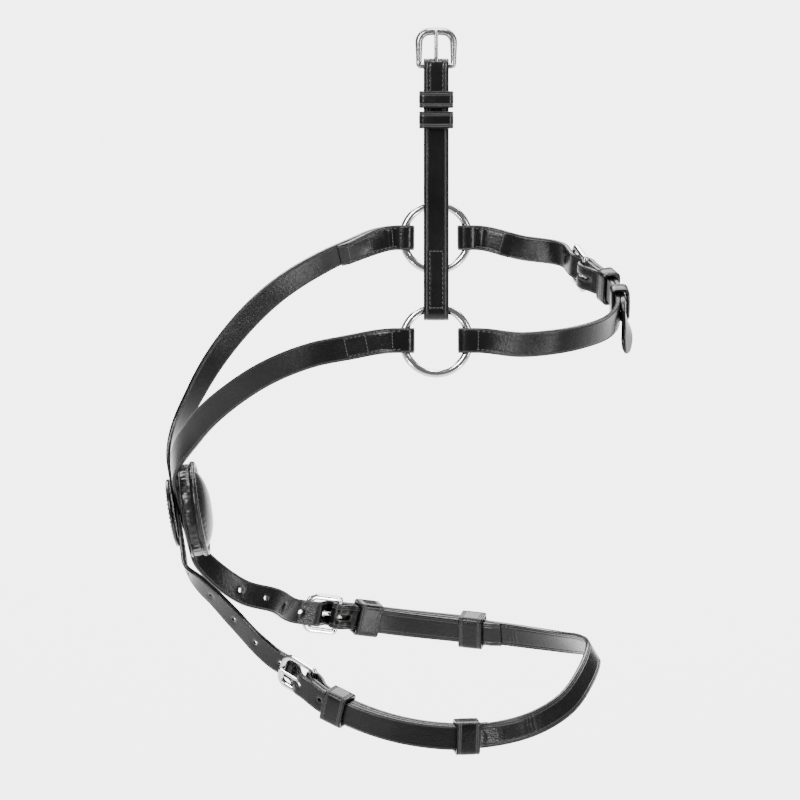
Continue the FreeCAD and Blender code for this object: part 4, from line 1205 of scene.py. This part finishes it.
h = np.linspace(0, WALL_H, 16)
outer = np.stack([PAD_R - 0.75 + 0.35 * np.sin(math.pi * h / WALL_H), h], axis=1)
inner_wall = np.stack([np.full(6, PAD_R - 2.4), np.linspace(WALL_H, 0, 6)], axis=1)
wall = revolve("pad_wall_pleats", np.vstack([outer, inner_wall]), PAD_C + NOSE_OUT * WALL_LOW,
               NOSE_OUT, pad_black, count=PLEATS * 18, ripple=pleated)
settle(wall, "noseband", "pad_leather", "pad_wall")


RIM_SIDES = 24


def rolled(turn, row):
    """Uneven swelling of the roll: two sets of small waves that never line up."""
    a = 2 * np.pi * row / RIM_SIDES
    swell = (0.06 * np.sin(23 * turn) * np.sin(9 * turn + 1.0)
             + 0.04 * np.sin(61 * turn + 2 * np.sin(4 * turn)))
    return swell * np.cos(a), swell * np.sin(a)


rim = revolve("pad_rim_roll", circle_profile(PAD_R + 0.8 - RIM_T, RIM_T, RIM_SIDES),
              PAD_C - NOSE_OUT, NOSE_OUT, pad_black, count=420, ripple=rolled)
settle(rim, "noseband", "pad_leather", "pad_rim")

FACE_R, DOME = PAD_R + 0.4 - 2 * RIM_T, 9.0
f = np.linspace(0.03, 1.0, 46)
face_top = np.stack([FACE_R * f, -DOME * (1 - f**2.3) ** 0.72], axis=1)
face_low = np.stack([np.linspace(FACE_R, 1.0, 10)[1:], np.full(9, 0.0)], axis=1)


def puckers(turn, row):
    """Ridges in from the rim: they deepen as (r / R)^5 and start at different places."""
    rng = np.random.default_rng(4)
    phases = rng.uniform(0, 6.28, 6)
    g = np.clip(row / 45, 0, 1) * (row < 46)
    ridge = np.cos(34 * turn + 1.6 * np.sin(3 * turn + phases[0]) + 0.8 * np.sin(7 * turn + phases[1]))
    fade = 0.6 + 0.4 * np.sin(5 * turn + phases[2])
    ends = g**9 * np.clip((1 - g) * 9, 0, 1)
    soft = 0.12 * np.sin(2 * turn + phases[3]) * g * (1 - g) * 4
    return 0.0 * turn + 0.0 * row, 0.26 * ridge * fade * ends + soft


face = revolve("pad_face_dome", np.vstack([face_top, face_low]), PAD_C, NOSE_OUT, pad_black,
               count=272, ripple=puckers, closed=False)
settle(face, "noseband", "pad_leather", "pad_face", "pad_foam")
print("pad", 2 * PAD_R, "mm across")

# %% [markdown]
# ## Floor, light and camera
# Black leather shows its shape only in what it reflects, so the light is large and
# soft: a broad panel above and in front, one each side to draw a highlight along the
# straps, and a dim room that only the camera sees as pale. The floor is far enough below
# for its shadow to fall out of view.

# %% Floor and lights
ROOM, BACKDROP, GLOW = 0.3, 0.85, 0.2
paper, _, paper_skin = new_material("studio_paper")
for key, value in (("Base Color", (0.93, 0.93, 0.93, 1)), ("Roughness", 0.9),
                   ("Emission Color", (1, 1, 1, 1)), ("Emission Strength", GLOW)):
    paper_skin.inputs[key].default_value = value
floor = write_mesh("studio_floor", vec(-9000, -5000, -1100, 9000, -5000, -1100, 9000, 12000, -1100,
                                       -9000, 12000, -1100).reshape(-1, 3),
                   np.array([[0, 1, 2, 3]]), paper)
world = bpy.data.worlds.new("studio")
world.use_nodes = True
world.node_tree.nodes["Background"].inputs["Color"].default_value = (1.0, 1.0, 1.0, 1)
rays = node(world.node_tree, "ShaderNodeLightPath")
room_light = blend_value(world.node_tree, rays.outputs["Is Camera Ray"], ROOM, BACKDROP)
link(world.node_tree, room_light, world.node_tree.nodes["Background"].inputs["Strength"])
bpy.context.scene.world = world


def panel(name, place, target, size, watts):
    lamp = bpy.data.lights.new(name, "AREA")
    lamp.shape, lamp.size, lamp.size_y, lamp.energy = "RECTANGLE", size[0], size[1], watts
    made = bpy.data.objects.new(name, lamp)
    made.location = place
    made.visible_camera = False
    made.rotation_euler = (Vector(target) - Vector(place)).to_track_quat("-Z", "Y").to_euler()
    bpy.context.scene.collection.objects.link(made)


MIDDLE = (-0.02, 0.0, -0.08)
panel("key_panel", (-0.9, -1.2, 1.2), MIDDLE, (0.5, 0.9), 64)
panel("side_panel", (1.3, -0.9, 0.4), MIDDLE, (0.3, 1.2), 28)
panel("near_streak", (-0.77, -1.34, -0.26), MIDDLE, (0.1, 0.3), 8)
panel("far_streak", (0.88, -1.13, -0.66), MIDDLE, (0.1, 0.3), 8)
panel("top_panel", (0.1, 0.1, 1.7), MIDDLE, (0.9, 0.5), 36)
panel("back_panel", (-0.6, 1.4, 0.8), MIDDLE, (0.8, 0.5), 18)
panel("floor_panel", (0.0, 3.4, 2.4), (0.0, 3.4, -1.1), (5.0, 4.0), 900)

# %% Camera
AIM, DISTANCE, LENS = Vector((-0.02304, 0, -0.0756)), 20.0, 1406.4
looking = Vector((0, math.cos(LEAN), -math.sin(LEAN)))
camera = bpy.data.objects.new("camera", bpy.data.cameras.new("camera"))
camera.data.lens, camera.data.sensor_width = LENS, 36.0
camera.location = AIM - looking * DISTANCE
camera.rotation_euler = looking.to_track_quat("-Z", "Y").to_euler()
bpy.context.scene.collection.objects.link(camera)
bpy.context.scene.camera = camera
print("camera", [round(v, 3) for v in camera.location])
